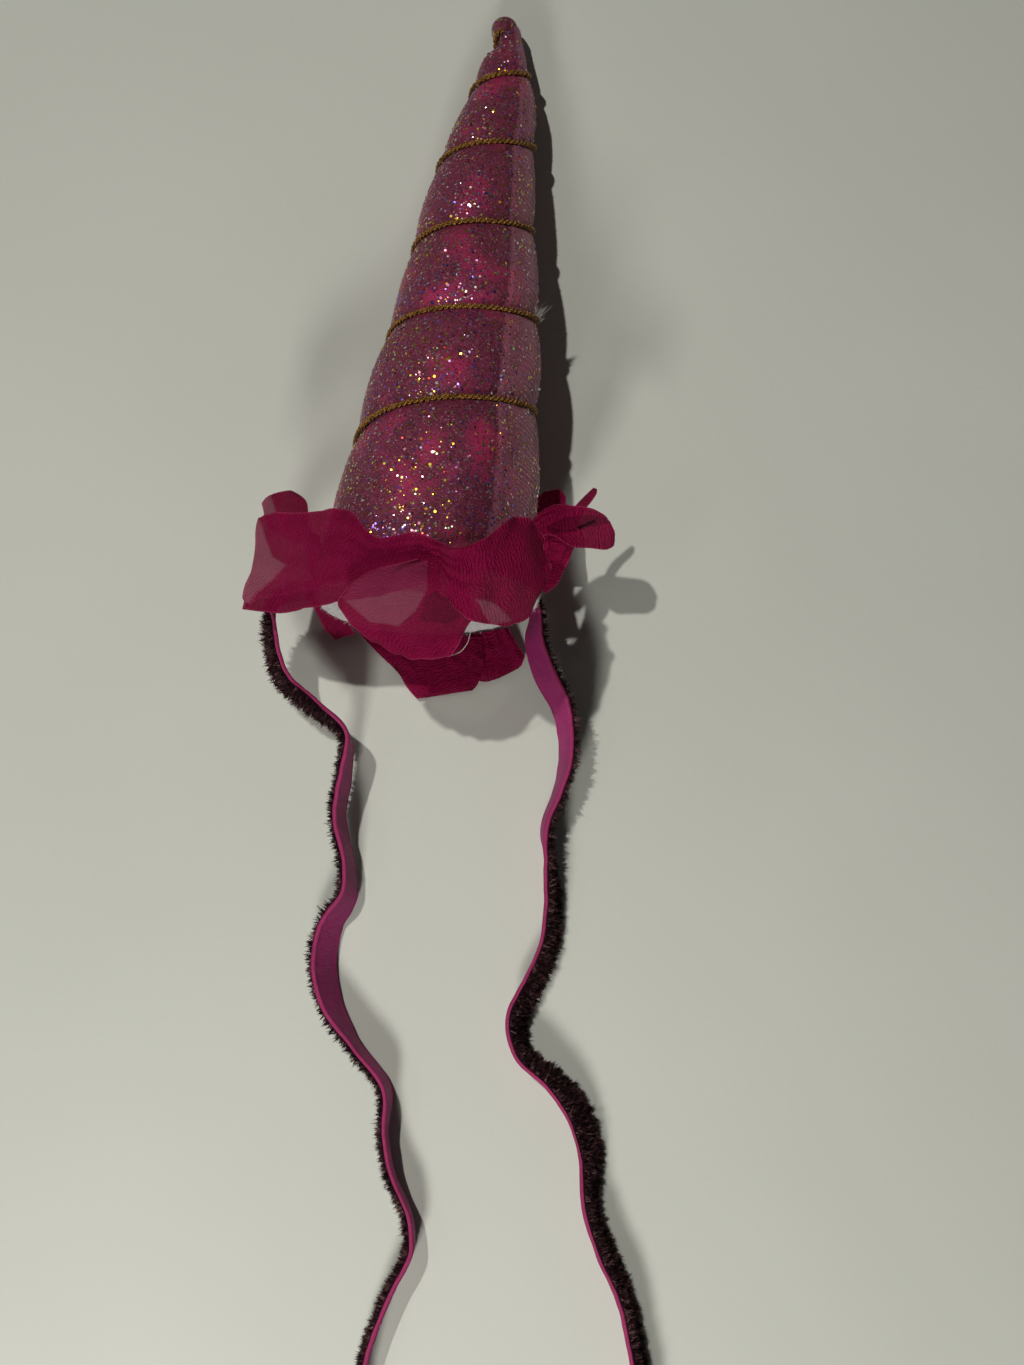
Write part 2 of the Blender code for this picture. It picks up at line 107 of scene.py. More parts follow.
def smooth(x, knots, values):
    """Cubic pieces through the table, each knot's slope taken from its neighbours."""
    knots = np.asarray(knots, float)
    values = np.asarray(values, float)
    slopes = np.gradient(values, knots, axis=0)
    x = np.clip(np.asarray(x, float), knots[0], knots[-1])
    i = np.clip(np.searchsorted(knots, x, side="right") - 1, 0, len(knots) - 2)
    gap = knots[i + 1] - knots[i]
    t = (x - knots[i]) / gap
    if values.ndim > 1:
        gap = gap[..., None]
        t = t[..., None]
    start = values[i] * (1 + 2 * t) + slopes[i] * gap * t
    end = values[i + 1] * (3 - 2 * t) - slopes[i + 1] * gap * (1 - t)
    return start * (1 - t) ** 2 + end * t**2


def unit(v):
    """Vectors at length one."""
    return v / np.maximum(np.linalg.norm(v, axis=-1, keepdims=True), 1e-12)


def waves(u, v, count, shortest, longest, seed):
    """Smooth irregular relief from about -1 to 1: a sum of sine waves of random heading, length and phase."""
    own = np.random.default_rng(seed)
    total = np.zeros(np.broadcast(u, v).shape)
    weight = 0.0
    for _ in range(count):
        length = shortest * (longest / shortest) ** own.random()
        way = own.random() * 2 * np.pi
        phase = own.random() * 2 * np.pi
        share = length**0.5
        total += share * np.sin(2 * np.pi * (u * np.cos(way) + v * np.sin(way)) / length + phase)
        weight += share**2
    return total / np.sqrt(weight)


def add_mesh(name, points, faces, material, uv=None, colours=None, moved=True, flat=False):
    """A mesh object from arrays of points and faces, with a UV place and a colour for each point."""
    mesh = bpy.data.meshes.new(name)
    points = np.asarray(points, float).reshape(-1, 3) + (set_off if moved else 0)
    faces = np.asarray(faces, np.int64)
    count, sides = faces.shape
    mesh.vertices.add(len(points))
    mesh.vertices.foreach_set("co", points.astype(np.float32).ravel())
    mesh.loops.add(count * sides)
    mesh.loops.foreach_set("vertex_index", faces.astype(np.int32).ravel())
    mesh.polygons.add(count)
    mesh.polygons.foreach_set("loop_start", np.arange(count, dtype=np.int32) * sides)
    mesh.update(calc_edges=True)
    mesh.polygons.foreach_set("use_smooth", np.full(count, not flat))
    if uv is not None:
        layer = mesh.uv_layers.new(name="UVMap")
        layer.data.foreach_set("uv", np.asarray(uv, np.float32).reshape(-1, 2)[faces.ravel()].ravel())
    if colours is not None:
        tint = mesh.color_attributes.new(name="tint", type="FLOAT_COLOR", domain="POINT")
        rows = np.ones((len(points), 4), np.float32)
        rows[:, :3] = np.asarray(colours, np.float32).reshape(-1, 3)
        tint.data.foreach_set("color", rows.ravel())
    mesh.materials.append(material)
    thing = bpy.data.objects.new(name, mesh)
    bpy.context.scene.collection.objects.link(thing)
    return thing


def grid_faces(rows, columns, wrap_rows=False, wrap_columns=False):
    """Quads of a grid of points, row after row, joined round where it wraps."""
    r = np.arange(rows if wrap_rows else rows - 1)
    c = np.arange(columns if wrap_columns else columns - 1)
    r, c = np.meshgrid(r, c, indexing="ij")
    r2, c2 = (r + 1) % rows, (c + 1) % columns
    corners = [r * columns + c, r2 * columns + c, r2 * columns + c2, r * columns + c2]
    return np.stack(corners, -1).reshape(-1, 4)


# Materials.


def new_material(name):
    """A material with a Principled shader, and a short way to add and link its nodes."""
    material = bpy.data.materials.new(name)
    material.use_nodes = True
    tree = material.node_tree
    return material, tree, tree.nodes["Principled BSDF"]


def node(tree, kind, inputs=None, **settings):
    """Add a node, set its properties, and set or link its inputs."""
    made = tree.nodes.new(kind)
    for key, value in settings.items():
        setattr(made, key, value)
    for key, value in (inputs or {}).items():
        socket = made.inputs[key]
        if isinstance(value, bpy.types.NodeSocket):
            tree.links.new(value, socket)
        else:
            socket.default_value = value
    return made


def maths(tree, operation, a, b=0.0, c=0.0, clamp=False):
    """One Math node's result."""
    made = tree.nodes.new("ShaderNodeMath")
    made.operation = operation
    made.use_clamp = clamp
    for socket, value in zip(made.inputs, (a, b, c)):
        if isinstance(value, bpy.types.NodeSocket):
            tree.links.new(value, socket)
        else:
            socket.default_value = value
    return made.outputs[0]


def blend_colours(tree, factor, a, b, mode="MIX"):
    """The colour between a and b."""
    made = tree.nodes.new("ShaderNodeMix")
    made.data_type = "RGBA"
    made.blend_type = mode
    for index, value in ((0, factor), (6, a), (7, b)):
        if isinstance(value, bpy.types.NodeSocket):
            tree.links.new(value, made.inputs[index])
        else:
            is_colour = isinstance(value, tuple) and len(value) == 3
            made.inputs[index].default_value = (*value, 1.0) if is_colour else value
    return made.outputs[2]


def ramp(tree, value, low, high):
    """Value stretched so that low gives 0 and high gives 1, and held there."""
    made = node(tree, "ShaderNodeMapRange", {"Value": value, "From Min": low, "From Max": high})
    made.clamp = True
    return made.outputs[0]


def make_group(name, inputs, outputs):
    """An empty shader node group with named sockets, and its two end nodes."""
    tree = bpy.data.node_groups.new(name, "ShaderNodeTree")
    for socket, kind, value in inputs:
        made = tree.interface.new_socket(name=socket, in_out="INPUT", socket_type=kind)
        if value is not None:
            made.default_value = value
    for socket, kind in outputs:
        tree.interface.new_socket(name=socket, in_out="OUTPUT", socket_type=kind)
    return tree, tree.nodes.new("NodeGroupInput").outputs, tree.nodes.new("NodeGroupOutput").inputs


def place_group(tree, group, inputs):
    """Place a node group in a material with its own values."""
    made = tree.nodes.new("ShaderNodeGroup")
    made.node_tree = group
    for key, value in inputs.items():
        if isinstance(value, bpy.types.NodeSocket):
            tree.links.new(value, made.inputs[key])
        else:
            made.inputs[key].default_value = value
    return made.outputs


def weave_group():
    """Plain weave: two crossed sets of rounded threads, of which one lies on top by turns.

    Along and Across are in metres. Height is the threads' relief and Thread is 1 on a thread's crown.
    """
    group, given, result = make_group(
        "plain weave",
        [
            ("Place", "NodeSocketVector", None),
            ("Along", "NodeSocketFloat", 0.0004),
            ("Across", "NodeSocketFloat", 0.0004),
            ("Unevenness", "NodeSocketFloat", 0.3),
        ],
        [("Height", "NodeSocketFloat"), ("Thread", "NodeSocketFloat")],
    )
    wander = node(group, "ShaderNodeTexNoise", {"Vector": given["Place"], "Scale": 260.0, "Detail": 2.0})
    shift = maths(group, "MULTIPLY", maths(group, "SUBTRACT", wander.outputs[0], 0.5), given["Unevenness"])
    parts = node(group, "ShaderNodeSeparateXYZ", {"Vector": given["Place"]})
    u = maths(group, "ADD", maths(group, "DIVIDE", parts.outputs[0], given["Along"]), shift)
    v = maths(group, "ADD", maths(group, "DIVIDE", parts.outputs[1], given["Across"]), shift)
    su = maths(group, "SINE", maths(group, "MULTIPLY", u, math.pi))
    sv = maths(group, "SINE", maths(group, "MULTIPLY", v, math.pi))
    warp = maths(group, "ABSOLUTE", su)
    weft = maths(group, "ABSOLUTE", sv)
    turn = maths(group, "MULTIPLY", su, sv)
    over = ramp(group, turn, -0.3, 0.3)
    height = maths(
        group,
        "ADD",
        maths(group, "MULTIPLY", warp, over),
        maths(group, "MULTIPLY", weft, maths(group, "SUBTRACT", 1.0, over)),
    )
    group.links.new(height, result["Height"])
    group.links.new(maths(group, "POWER", height, 2.0), result["Thread"])
    return group


def patches_group():
    """Slow uneven patches and fine mottle, for cloth that isn't one flat colour."""
    group, given, result = make_group(
        "uneven dye",
        [
            ("Place", "NodeSocketVector", None),
            ("Patch Size", "NodeSocketFloat", 0.01),
            ("Mottle Size", "NodeSocketFloat", 0.0008),
        ],
        [("Patch", "NodeSocketFloat"), ("Mottle", "NodeSocketFloat")],
    )
    for size, output, detail in (("Patch Size", "Patch", 3.0), ("Mottle Size", "Mottle", 2.0)):
        scale = maths(group, "DIVIDE", 1.0, given[size])
        sockets = {"Vector": given["Place"], "Scale": scale, "Detail": detail}
        cloud = node(group, "ShaderNodeTexNoise", sockets)
        group.links.new(ramp(group, cloud.outputs[0], 0.32, 0.68), result[output])
    return group


def fibre_group():
    """Fine fibres lying every way: stretched noise along two headings, for felt and fuzz."""
    group, given, result = make_group(
        "loose fibres",
        [("Place", "NodeSocketVector", None), ("Fibre", "NodeSocketFloat", 0.0003)],
        [("Height", "NodeSocketFloat")],
    )
    total = None
    for turn in (0.4, 1.5, 2.6):
        laid = node(group, "ShaderNodeMapping", {"Vector": given["Place"], "Rotation": (0.3, turn, turn)})
        laid.inputs["Scale"].default_value = (1.0, 0.16, 0.5)
        scale = maths(group, "DIVIDE", 1.0, given["Fibre"])
        noise = node(group, "ShaderNodeTexNoise", {"Vector": laid.outputs[0], "Scale": scale, "Detail": 3.0})
        total = noise.outputs[0] if total is None else maths(group, "ADD", total, noise.outputs[0])
    group.links.new(maths(group, "MULTIPLY", total, 0.3333), result["Height"])
    return group


weave = weave_group()
uneven = patches_group()
fibres = fibre_group()


def finish_socket(shader, **values):
    """Set constants on the shader's own sockets."""
    for key, value in values.items():
        shader.inputs[key.replace("_", " ")].default_value = value


def link_bump(tree, shader, height, distance, strength=1.0):
    """Feed a height into the shader's normal through one Bump node."""
    bump = node(tree, "ShaderNodeBump", {"Height": height, "Distance": distance, "Strength": strength})
    tree.links.new(bump.outputs[0], shader.inputs["Normal"])
    return bump


def glitter_fabric():
    """Wine magenta satin under pale net, with unlit foil dots and a paler double net by the seam.

    The tint's red is 1 where the net is double, its green is painted shade in the grooves and the seam's
    crease, its blue marks the sides, where a paler net is painted sheen.
    """
    material, tree, shader = new_material("glitter_fabric")
    uv = node(tree, "ShaderNodeUVMap", uv_map="UVMap").outputs[0]
    place = node(tree, "ShaderNodeTexCoord").outputs["Object"]
    marks = node(tree, "ShaderNodeAttribute", attribute_name="tint").outputs["Color"]
    marks = node(tree, "ShaderNodeSeparateColor", {"Color": marks}).outputs
    dye = place_group(tree, uneven, {"Place": place, "Patch Size": 0.013, "Mottle Size": 0.00055})
    hot = ramp(tree, dye["Patch"], 0.55, 0.95)
    grain = node(tree, "ShaderNodeMapping", {"Vector": uv, "Scale": (1.0, 2.6, 1.0)}).outputs[0]
    grain = node(tree, "ShaderNodeTexNoise", {"Vector": grain, "Scale": 1500.0, "Detail": 2.0}).outputs[0]
    grain = ramp(tree, grain, 0.36, 0.64)
    base = blend_colours(tree, dye["Mottle"], (0.070, 0.003, 0.019), (0.165, 0.011, 0.045))
    base = blend_colours(tree, maths(tree, "MULTIPLY", grain, 0.32), base, (0.330, 0.060, 0.125))
    base = blend_colours(tree, maths(tree, "MULTIPLY", hot, 0.85), base, (0.400, 0.014, 0.090))
    # Dots of foil that do not catch the light: a cell pattern of round spots.
    cells = node(tree, "ShaderNodeTexVoronoi", {"Vector": place, "Scale": 1700.0, "Randomness": 1.0})
    spot = maths(tree, "SUBTRACT", 1.0, ramp(tree, cells.outputs["Distance"], 0.30, 0.42))
    pick = node(tree, "ShaderNodeSeparateColor", {"Color": cells.outputs["Color"]}).outputs
    quiet = maths(tree, "MULTIPLY_ADD", hot, -0.65, 1.0)
    dark = maths(tree, "MULTIPLY", maths(tree, "MULTIPLY", spot, quiet), ramp(tree, pick[0], 0.45, 0.55))
    pale = maths(tree, "MULTIPLY", maths(tree, "MULTIPLY", spot, quiet), ramp(tree, pick[1], 0.66, 0.76))
    base = blend_colours(tree, maths(tree, "MULTIPLY", dark, 0.70), base, (0.022, 0.004, 0.014))
    base = blend_colours(tree, maths(tree, "MULTIPLY", pale, 0.50), base, (0.40, 0.17, 0.22))
    # The net: three sets of fine threads, and the wavy bands that two layers of it make together.
    parts = node(tree, "ShaderNodeSeparateXYZ", {"Vector": uv}).outputs
    slant = maths(tree, "ADD", parts[0], maths(tree, "MULTIPLY", parts[1], 0.55))
    counter = maths(tree, "SUBTRACT", parts[0], maths(tree, "MULTIPLY", parts[1], 0.55))
    net = None
    for line in (slant, counter, parts[1]):
        wave = maths(tree, "ABSOLUTE", maths(tree, "SINE", maths(tree, "MULTIPLY", line, math.pi / 0.00060)))
        wave = maths(tree, "SUBTRACT", 1.0, ramp(tree, wave, 0.10, 0.38))
        net = wave if net is None else maths(tree, "MAXIMUM", net, wave)
    drift = node(tree, "ShaderNodeTexNoise", {"Vector": place, "Scale": 210.0, "Detail": 1.5}).outputs[0]
    bands = maths(tree, "ADD", maths(tree, "DIVIDE", parts[1], 0.00135), maths(tree, "MULTIPLY", drift, 2.2))
    bands = maths(tree, "ADD", bands, maths(tree, "DIVIDE", parts[0], 0.0070))
    bands = maths(tree, "SINE", maths(tree, "MULTIPLY", bands, 2 * math.pi))
    bands = maths(tree, "MULTIPLY_ADD", bands, 0.5, 0.5)
    # Paler net where it is double by the seam, and round the sides as painted sheen where the net is seen at a
    # slant.
    double_net_and_side_sheen = maths(tree, "MAXIMUM", marks[0], marks[2])
    veil = maths(tree, "MULTIPLY_ADD", double_net_and_side_sheen, 0.26, 0.045)
    veil = maths(tree, "MULTIPLY", veil, maths(tree, "MULTIPLY_ADD", net, 0.65, 0.40))
    fleck = maths(tree, "MULTIPLY", grain, maths(tree, "MULTIPLY", marks[0], 0.20))
    veil = maths(tree, "ADD", veil, fleck)
    veil = maths(tree, "ADD", veil, maths(tree, "MULTIPLY", maths(tree, "MULTIPLY", bands, marks[2]), 0.55))
    base = blend_colours(tree, veil, base, (0.60, 0.240, 0.320))
    # Painted shade: darker in the grooves and along the seam's crease.
    base = blend_colours(tree, maths(tree, "MULTIPLY", marks[1], 0.5), base, (0.040, 0.005, 0.015))
    tree.links.new(base, shader.inputs["Base Color"])
    rough = maths(tree, "MULTIPLY_ADD", dye["Mottle"], 0.15, 0.45)
    tree.links.new(rough, shader.inputs["Roughness"])
    relief = maths(tree, "MULTIPLY", dye["Mottle"], 0.7)
    height = maths(tree, "ADD", maths(tree, "MULTIPLY", net, 0.6), relief)
    link_bump(tree, shader, height, 0.00012, 0.7)
    finish_socket(shader, Sheen_Weight=0.22, Sheen_Roughness=0.28, Sheen_Tint=(1.0, 0.66, 0.74, 1.0))
    finish_socket(shader, Specular_IOR_Level=0.22)
    return material


def foil_dots():
    """Holographic foil: mirror-like metal whose colour is each dot's own."""
    material, tree, shader = new_material("foil_dots")
    tint = node(tree, "ShaderNodeAttribute", attribute_name="tint").outputs["Color"]
    tree.links.new(tint, shader.inputs["Base Color"])
    finish_socket(shader, Metallic=1.0, Roughness=0.29)
    return material


def gold_thread():
    """Metallic yarn: foil strips wound round each ply, gold on their crowns, with painted shade, dark brown, in
    the hollows between them.
    """
    material, tree, shader = new_material("gold_cord")
    uv = node(tree, "ShaderNodeUVMap", uv_map="UVMap").outputs[0]
    parts = node(tree, "ShaderNodeSeparateXYZ", {"Vector": uv}).outputs
    wound = maths(tree, "DIVIDE", parts[1], 0.00036)
    wound = maths(tree, "ADD", maths(tree, "MULTIPLY", parts[0], 2.0), wound)
    strip = maths(tree, "ABSOLUTE", maths(tree, "SINE", maths(tree, "MULTIPLY", wound, math.pi)))
    place = node(tree, "ShaderNodeTexCoord").outputs["Object"]
    dye = place_group(tree, uneven, {"Place": place, "Patch Size": 0.0012, "Mottle Size": 0.00022})
    # Painted shade: dark brown where the strips' relief sinks, gold on their crowns.
    shade = maths(tree, "MULTIPLY", ramp(tree, strip, 0.15, 0.80), ramp(tree, dye["Mottle"], 0.10, 0.75))
    shade = maths(tree, "MULTIPLY", shade, maths(tree, "MULTIPLY_ADD", dye["Patch"], 0.6, 0.4))
    colour = blend_colours(tree, shade, (0.050, 0.013, 0.002), (1.0, 0.50, 0.10))
    tree.links.new(colour, shader.inputs["Base Color"])
    tree.links.new(maths(tree, "MULTIPLY_ADD", dye["Mottle"], 0.22, 0.20), shader.inputs["Roughness"])
    height = maths(tree, "ADD", strip, maths(tree, "MULTIPLY", dye["Mottle"], 1.5))
    link_bump(tree, shader, height, 0.00012, 1.0)
    finish_socket(shader, Metallic=0.40)
    return material


def white_felt():
    """Pressed white felt: matted fibres, with painted grey shade in the hollows."""
    material, tree, shader = new_material("white_felt")
    place = node(tree, "ShaderNodeTexCoord").outputs["Object"]
    matted = place_group(tree, fibres, {"Place": place, "Fibre": 0.0009})["Height"]
    dye = place_group(tree, uneven, {"Place": place, "Patch Size": 0.006, "Mottle Size": 0.0012})
    # Painted shade: greyer where the matted fibres sink.
    shade = maths(tree, "MULTIPLY", ramp(tree, matted, 0.38, 0.6), 0.7)
    colour = blend_colours(tree, shade, (0.42, 0.40, 0.39), (0.74, 0.73, 0.71))
    colour = blend_colours(tree, maths(tree, "MULTIPLY", dye["Patch"], 0.25), colour, (0.50, 0.47, 0.46))
    tree.links.new(colour, shader.inputs["Base Color"])
    link_bump(tree, shader, matted, 0.0006, 0.9)
    finish_socket(shader, Roughness=0.95, Sheen_Weight=0.4, Sheen_Roughness=0.6)
    return material


def petal_chiffon():
    """Sheer crimson chiffon: fine weave in wavy rows, painted lighter on their crests as highlight, see-through
    where it lies single, with paler cut edges.

    The tint's red is 1 at a heat-cut edge; its green marks a single layer, thinner cloth painted lighter,
    partly as painted light from the table showing through; its blue a darker patch, painted shade in a deep
    fold and in the tongue's curl and slit, and doubled cloth in a grey patch.
    """
    material, tree, shader = new_material("petal_chiffon")
    uv = node(tree, "ShaderNodeUVMap", uv_map="UVMap").outputs[0]
    place = node(tree, "ShaderNodeTexCoord").outputs["Object"]
    cloth = place_group(tree, weave, {"Place": uv, "Along": 0.00042, "Across": 0.00050, "Unevenness": 1.6})
    dye = place_group(tree, uneven, {"Place": place, "Patch Size": 0.008, "Mottle Size": 0.0008})
    crepe = node(tree, "ShaderNodeMapping", {"Vector": uv, "Scale": (1.0, 0.28, 1.0)})
    crepe = node(tree, "ShaderNodeTexNoise", {"Vector": crepe.outputs[0], "Scale": 1500.0, "Detail": 3.0})
    parts = node(tree, "ShaderNodeSeparateXYZ", {"Vector": uv}).outputs
    drift = node(tree, "ShaderNodeTexNoise", {"Vector": uv, "Scale": 150.0, "Detail": 2.0}).outputs[0]
    rows = maths(tree, "MULTIPLY_ADD", parts[1], 0.5, parts[0])
    rows = maths(tree, "ADD", maths(tree, "DIVIDE", rows, 0.00085), maths(tree, "MULTIPLY", drift, 6.0))
    rows = maths(tree, "SINE", maths(tree, "MULTIPLY", rows, 2 * math.pi))
    rows = maths(tree, "MULTIPLY_ADD", rows, 0.5, 0.5)
    marks = node(tree, "ShaderNodeAttribute", attribute_name="tint").outputs["Color"]
    marks = node(tree, "ShaderNodeSeparateColor", {"Color": marks}).outputs
    colour = blend_colours(tree, cloth["Thread"], (0.165, 0.0012, 0.026), (0.360, 0.0060, 0.070))
    # Painted highlight: lighter along the crests of the wavy rows.
    colour = blend_colours(tree, maths(tree, "MULTIPLY", rows, 0.34), colour, (0.50, 0.010, 0.110))
    colour = blend_colours(tree, maths(tree, "MULTIPLY", dye["Mottle"], 0.35), colour, (0.18, 0.0015, 0.030))
    colour = blend_colours(tree, maths(tree, "MULTIPLY", dye["Patch"], 0.25), colour, (0.40, 0.010, 0.090))
    # Painted shade in deep folds, in the tongue's curl and its slit; darker doubled cloth in the grey patch.
    colour = blend_colours(tree, maths(tree, "MULTIPLY", marks[2], 0.70), colour, (0.095, 0.003, 0.022))
    # Lighter where the cloth lies single: thinner cloth, partly painted light from the table showing through.
    colour = blend_colours(tree, maths(tree, "MULTIPLY", marks[1], 0.60), colour, (0.36, 0.050, 0.125))
    colour = blend_colours(tree, maths(tree, "MULTIPLY", marks[0], 0.55), colour, (0.55, 0.08, 0.17))
    tree.links.new(colour, shader.inputs["Base Color"])
    height = maths(tree, "ADD", cloth["Height"], maths(tree, "MULTIPLY", crepe.outputs[0], 3.0))
    height = maths(tree, "ADD", height, rows)
    bump = link_bump(tree, shader, height, 0.00020, 0.9)
    gaps = maths(tree, "MULTIPLY", maths(tree, "SUBTRACT", 1.0, cloth["Thread"]), 0.035)
    solid = maths(tree, "SUBTRACT", 1.0, gaps)
    solid = maths(tree, "SUBTRACT", solid, maths(tree, "MULTIPLY", marks[1], 0.09))
    tree.links.new(solid, shader.inputs["Alpha"])
    finish_socket(shader, Roughness=0.7, Sheen_Weight=0.06, Sheen_Roughness=0.35)
    finish_socket(shader, Sheen_Tint=(1.0, 0.30, 0.5, 1.0), Specular_IOR_Level=0.08)
    through = node(tree, "ShaderNodeBsdfTranslucent", {"Color": colour, "Normal": bump.outputs[0]})
    output = tree.nodes["Material Output"]
    mixed = node(tree, "ShaderNodeMixShader", {0: 0.38, 1: shader.outputs[0], 2: through.outputs[0]})
    tree.links.new(mixed.outputs[0], output.inputs["Surface"])
    return material


def band_web():
    """Smooth knitted elastic: fine lengthwise ribs, a paler selvage at each edge, a velvety sheen."""
    material, tree, shader = new_material("plush_elastic")
    uv = node(tree, "ShaderNodeUVMap", uv_map="UVMap").outputs[0]
    parts = node(tree, "ShaderNodeSeparateXYZ", {"Vector": uv})
    place = node(tree, "ShaderNodeTexCoord").outputs["Object"]
    cloth = place_group(tree, weave, {"Place": uv, "Along": 0.00038, "Across": 0.00045, "Unevenness": 0.8})
    dye = place_group(tree, uneven, {"Place": place, "Patch Size": 0.014, "Mottle Size": 0.0007})
    from_middle = maths(tree, "ABSOLUTE", maths(tree, "DIVIDE", parts.outputs[1], 0.5 * BAND_WIDTH))
    selvage = ramp(tree, from_middle, 0.84, 0.97)
    colour = blend_colours(tree, dye["Patch"], (0.220, 0.006, 0.085), (0.340, 0.009, 0.125))
    colour = blend_colours(tree, maths(tree, "MULTIPLY", cloth["Thread"], 0.35), colour, (0.42, 0.022, 0.165))
    colour = blend_colours(tree, maths(tree, "MULTIPLY", dye["Mottle"], 0.3), colour, (0.13, 0.01, 0.08))
    colour = blend_colours(tree, maths(tree, "MULTIPLY", selvage, 0.45), colour, (0.30, 0.030, 0.075))
    tree.links.new(colour, shader.inputs["Base Color"])
    height = maths(tree, "ADD", cloth["Height"], maths(tree, "MULTIPLY", dye["Mottle"], 0.8))
    link_bump(tree, shader, height, 0.0001, 0.8)
    finish_socket(shader, Roughness=0.62, Sheen_Weight=0.08, Sheen_Roughness=0.3)
    finish_socket(shader, Sheen_Tint=(1.0, 0.30, 0.75, 1.0), Specular_IOR_Level=0.3)
    return material


def pile_fibre():
    """Dark plush yarn: each fibre has its own maroon, from near black to dusty plum."""
    material, tree, shader = new_material("plush_pile")
    tint = node(tree, "ShaderNodeAttribute", attribute_name="tint").outputs["Color"]
    place = node(tree, "ShaderNodeTexCoord").outputs["Object"]
    dye = place_group(tree, uneven, {"Place": place, "Patch Size": 0.004, "Mottle Size": 0.0005})
    colour = blend_colours(tree, maths(tree, "MULTIPLY", dye["Mottle"], 0.5), tint, (0.012, 0.001, 0.004))
    tree.links.new(colour, shader.inputs["Base Color"])
    finish_socket(shader, Roughness=0.8, Specular_IOR_Level=0.08)
    return material


def pale_thread():
    """Loose pale thread and the frayed tuft."""
    material, tree, shader = new_material("pale_thread")
    place = node(tree, "ShaderNodeTexCoord").outputs["Object"]
    dye = place_group(tree, uneven, {"Place": place, "Patch Size": 0.002, "Mottle Size": 0.0004})
    colour = blend_colours(tree, dye["Mottle"], (0.34, 0.31, 0.26), (0.62, 0.60, 0.54))
    tree.links.new(colour, shader.inputs["Base Color"])
    finish_socket(shader, Roughness=0.8)
    return material


def table_top():
    """Plain pale table: warm grey with faint slow patches."""
    material, tree, shader = new_material("table_top")
    place = node(tree, "ShaderNodeTexCoord").outputs["Object"]
    dye = place_group(tree, uneven, {"Place": place, "Patch Size": 0.12, "Mottle Size": 0.0012})
    colour = blend_colours(tree, dye["Patch"], (0.530, 0.540, 0.480), (0.560, 0.570, 0.510))
    colour = blend_colours(tree, maths(tree, "MULTIPLY", dye["Mottle"], 0.06), colour, (0.45, 0.46, 0.41))
    tree.links.new(colour, shader.inputs["Base Color"])
    link_bump(tree, shader, dye["Mottle"], 0.00002, 0.5)
    finish_socket(shader, Roughness=0.6, Specular_IOR_Level=0.3)
    return material


satin, foil, gold, felt = glitter_fabric(), foil_dots(), gold_thread(), white_felt()
chiffon, web, pile, thread, table = petal_chiffon(), band_web(), pile_fibre(), pale_thread(), table_top()

# Horn shape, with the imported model's own formulas.
dip = math.asin((BASE_HEIGHT - TIP_HEIGHT) / HORN_LENGTH)
turn = math.radians(HORN_TURN)


def horn_frame(length):
    """Spine point, right and up at a length: straight back at the base, then turned, bent and swayed."""
    length = np.asarray(length, float)
    forward = np.array([math.sin(turn) * math.cos(dip), math.cos(turn) * math.cos(dip), -math.sin(dip)])
    share = np.clip(length / TURN_RUN_IN, 0, 1)
    now = turn * share * share * (3 - 2 * share)
    right = np.stack([np.cos(now), -np.sin(now), 0 * now], -1)
    ahead = np.stack([np.sin(now) * math.cos(dip), np.cos(now) * math.cos(dip), 0 * now - math.sin(dip)], -1)
    up = np.cross(right, ahead)
    part = np.clip(length / HORN_LENGTH, 0, 1)
    bend = 4 * SPINE_BEND * part * (1 - part)
    table_sway = np.array(SPINE_SWAY)
    sway = smooth(part, table_sway[:, 0], table_sway[:, 1]) * HORN_RADIUS
    start = np.array([0, BASE_SEAM + 0.5 * DISC_THICKNESS, BASE_HEIGHT])
    spine = start + length[..., None] * forward + sway[..., None] * right
    return spine + bend[..., None] * np.array([0, 0, 1]), right, up


def groove_radius(length):
    """Radius of the groove floor, rounded off at the tip."""
    profile = np.array(HORN_PROFILE)
    radius = smooth(length / HORN_LENGTH, profile[:, 0], profile[:, 1]) * HORN_RADIUS
    into_cap = np.clip((length - HORN_LENGTH + TIP_CAP) / TIP_CAP, 0, 1)
    return radius * np.sqrt(1 - into_cap**2)


def spiral_length(turns, angle):
    """Length that the groove has reached after a number of turns, held back near the top line."""
    spiral = np.array(SPIRAL)
    share = smooth(turns, spiral[:, 0], spiral[:, 1])
    lag = 4 * share * (1 - share) * np.cos(2 * np.pi * (angle - LAG_SIDE))
    return share * HORN_LENGTH - lag * GROOVE_LAG


def turns_at(length, angle):
    """Turns that reach a length at an angle: spiral_length solved the other way round."""
    hold = 4 * GROOVE_LAG * np.cos(2 * np.pi * (angle - LAG_SIDE))
    b = HORN_LENGTH - hold
    share = 2 * length / (b + np.sqrt(b**2 + 4 * hold * length))
    fine = np.linspace(0, SPIRAL[-1][0], 4001)
    spiral = np.array(SPIRAL)
    reached = smooth(fine, spiral[:, 0], spiral[:, 1])
    return np.interp(share, reached, fine)


def puff_height(turns, angle, length):
    """How far the stuffing swells out over the groove floor, between one turn of the groove and the next."""
    share = np.mod(turns - angle, 1.0)
    fade = (groove_radius(length) / HORN_RADIUS) ** PUFF_FADE
    return PUFF_HEIGHT * fade * np.maximum(1 - (2 * share - 1) ** 2, 0) ** PUFF_ROUNDNESS, share


def tip_waist(length, angle):
    """Depth of the waist on the left that sets off the bulb at the tip: a bell along the length."""
    bell = np.exp(-(((length - HORN_LENGTH + 0.0088) / 0.0028) ** 2))
    return 0.0020 * bell * (0.5 - 0.5 * np.sin(2 * np.pi * angle))


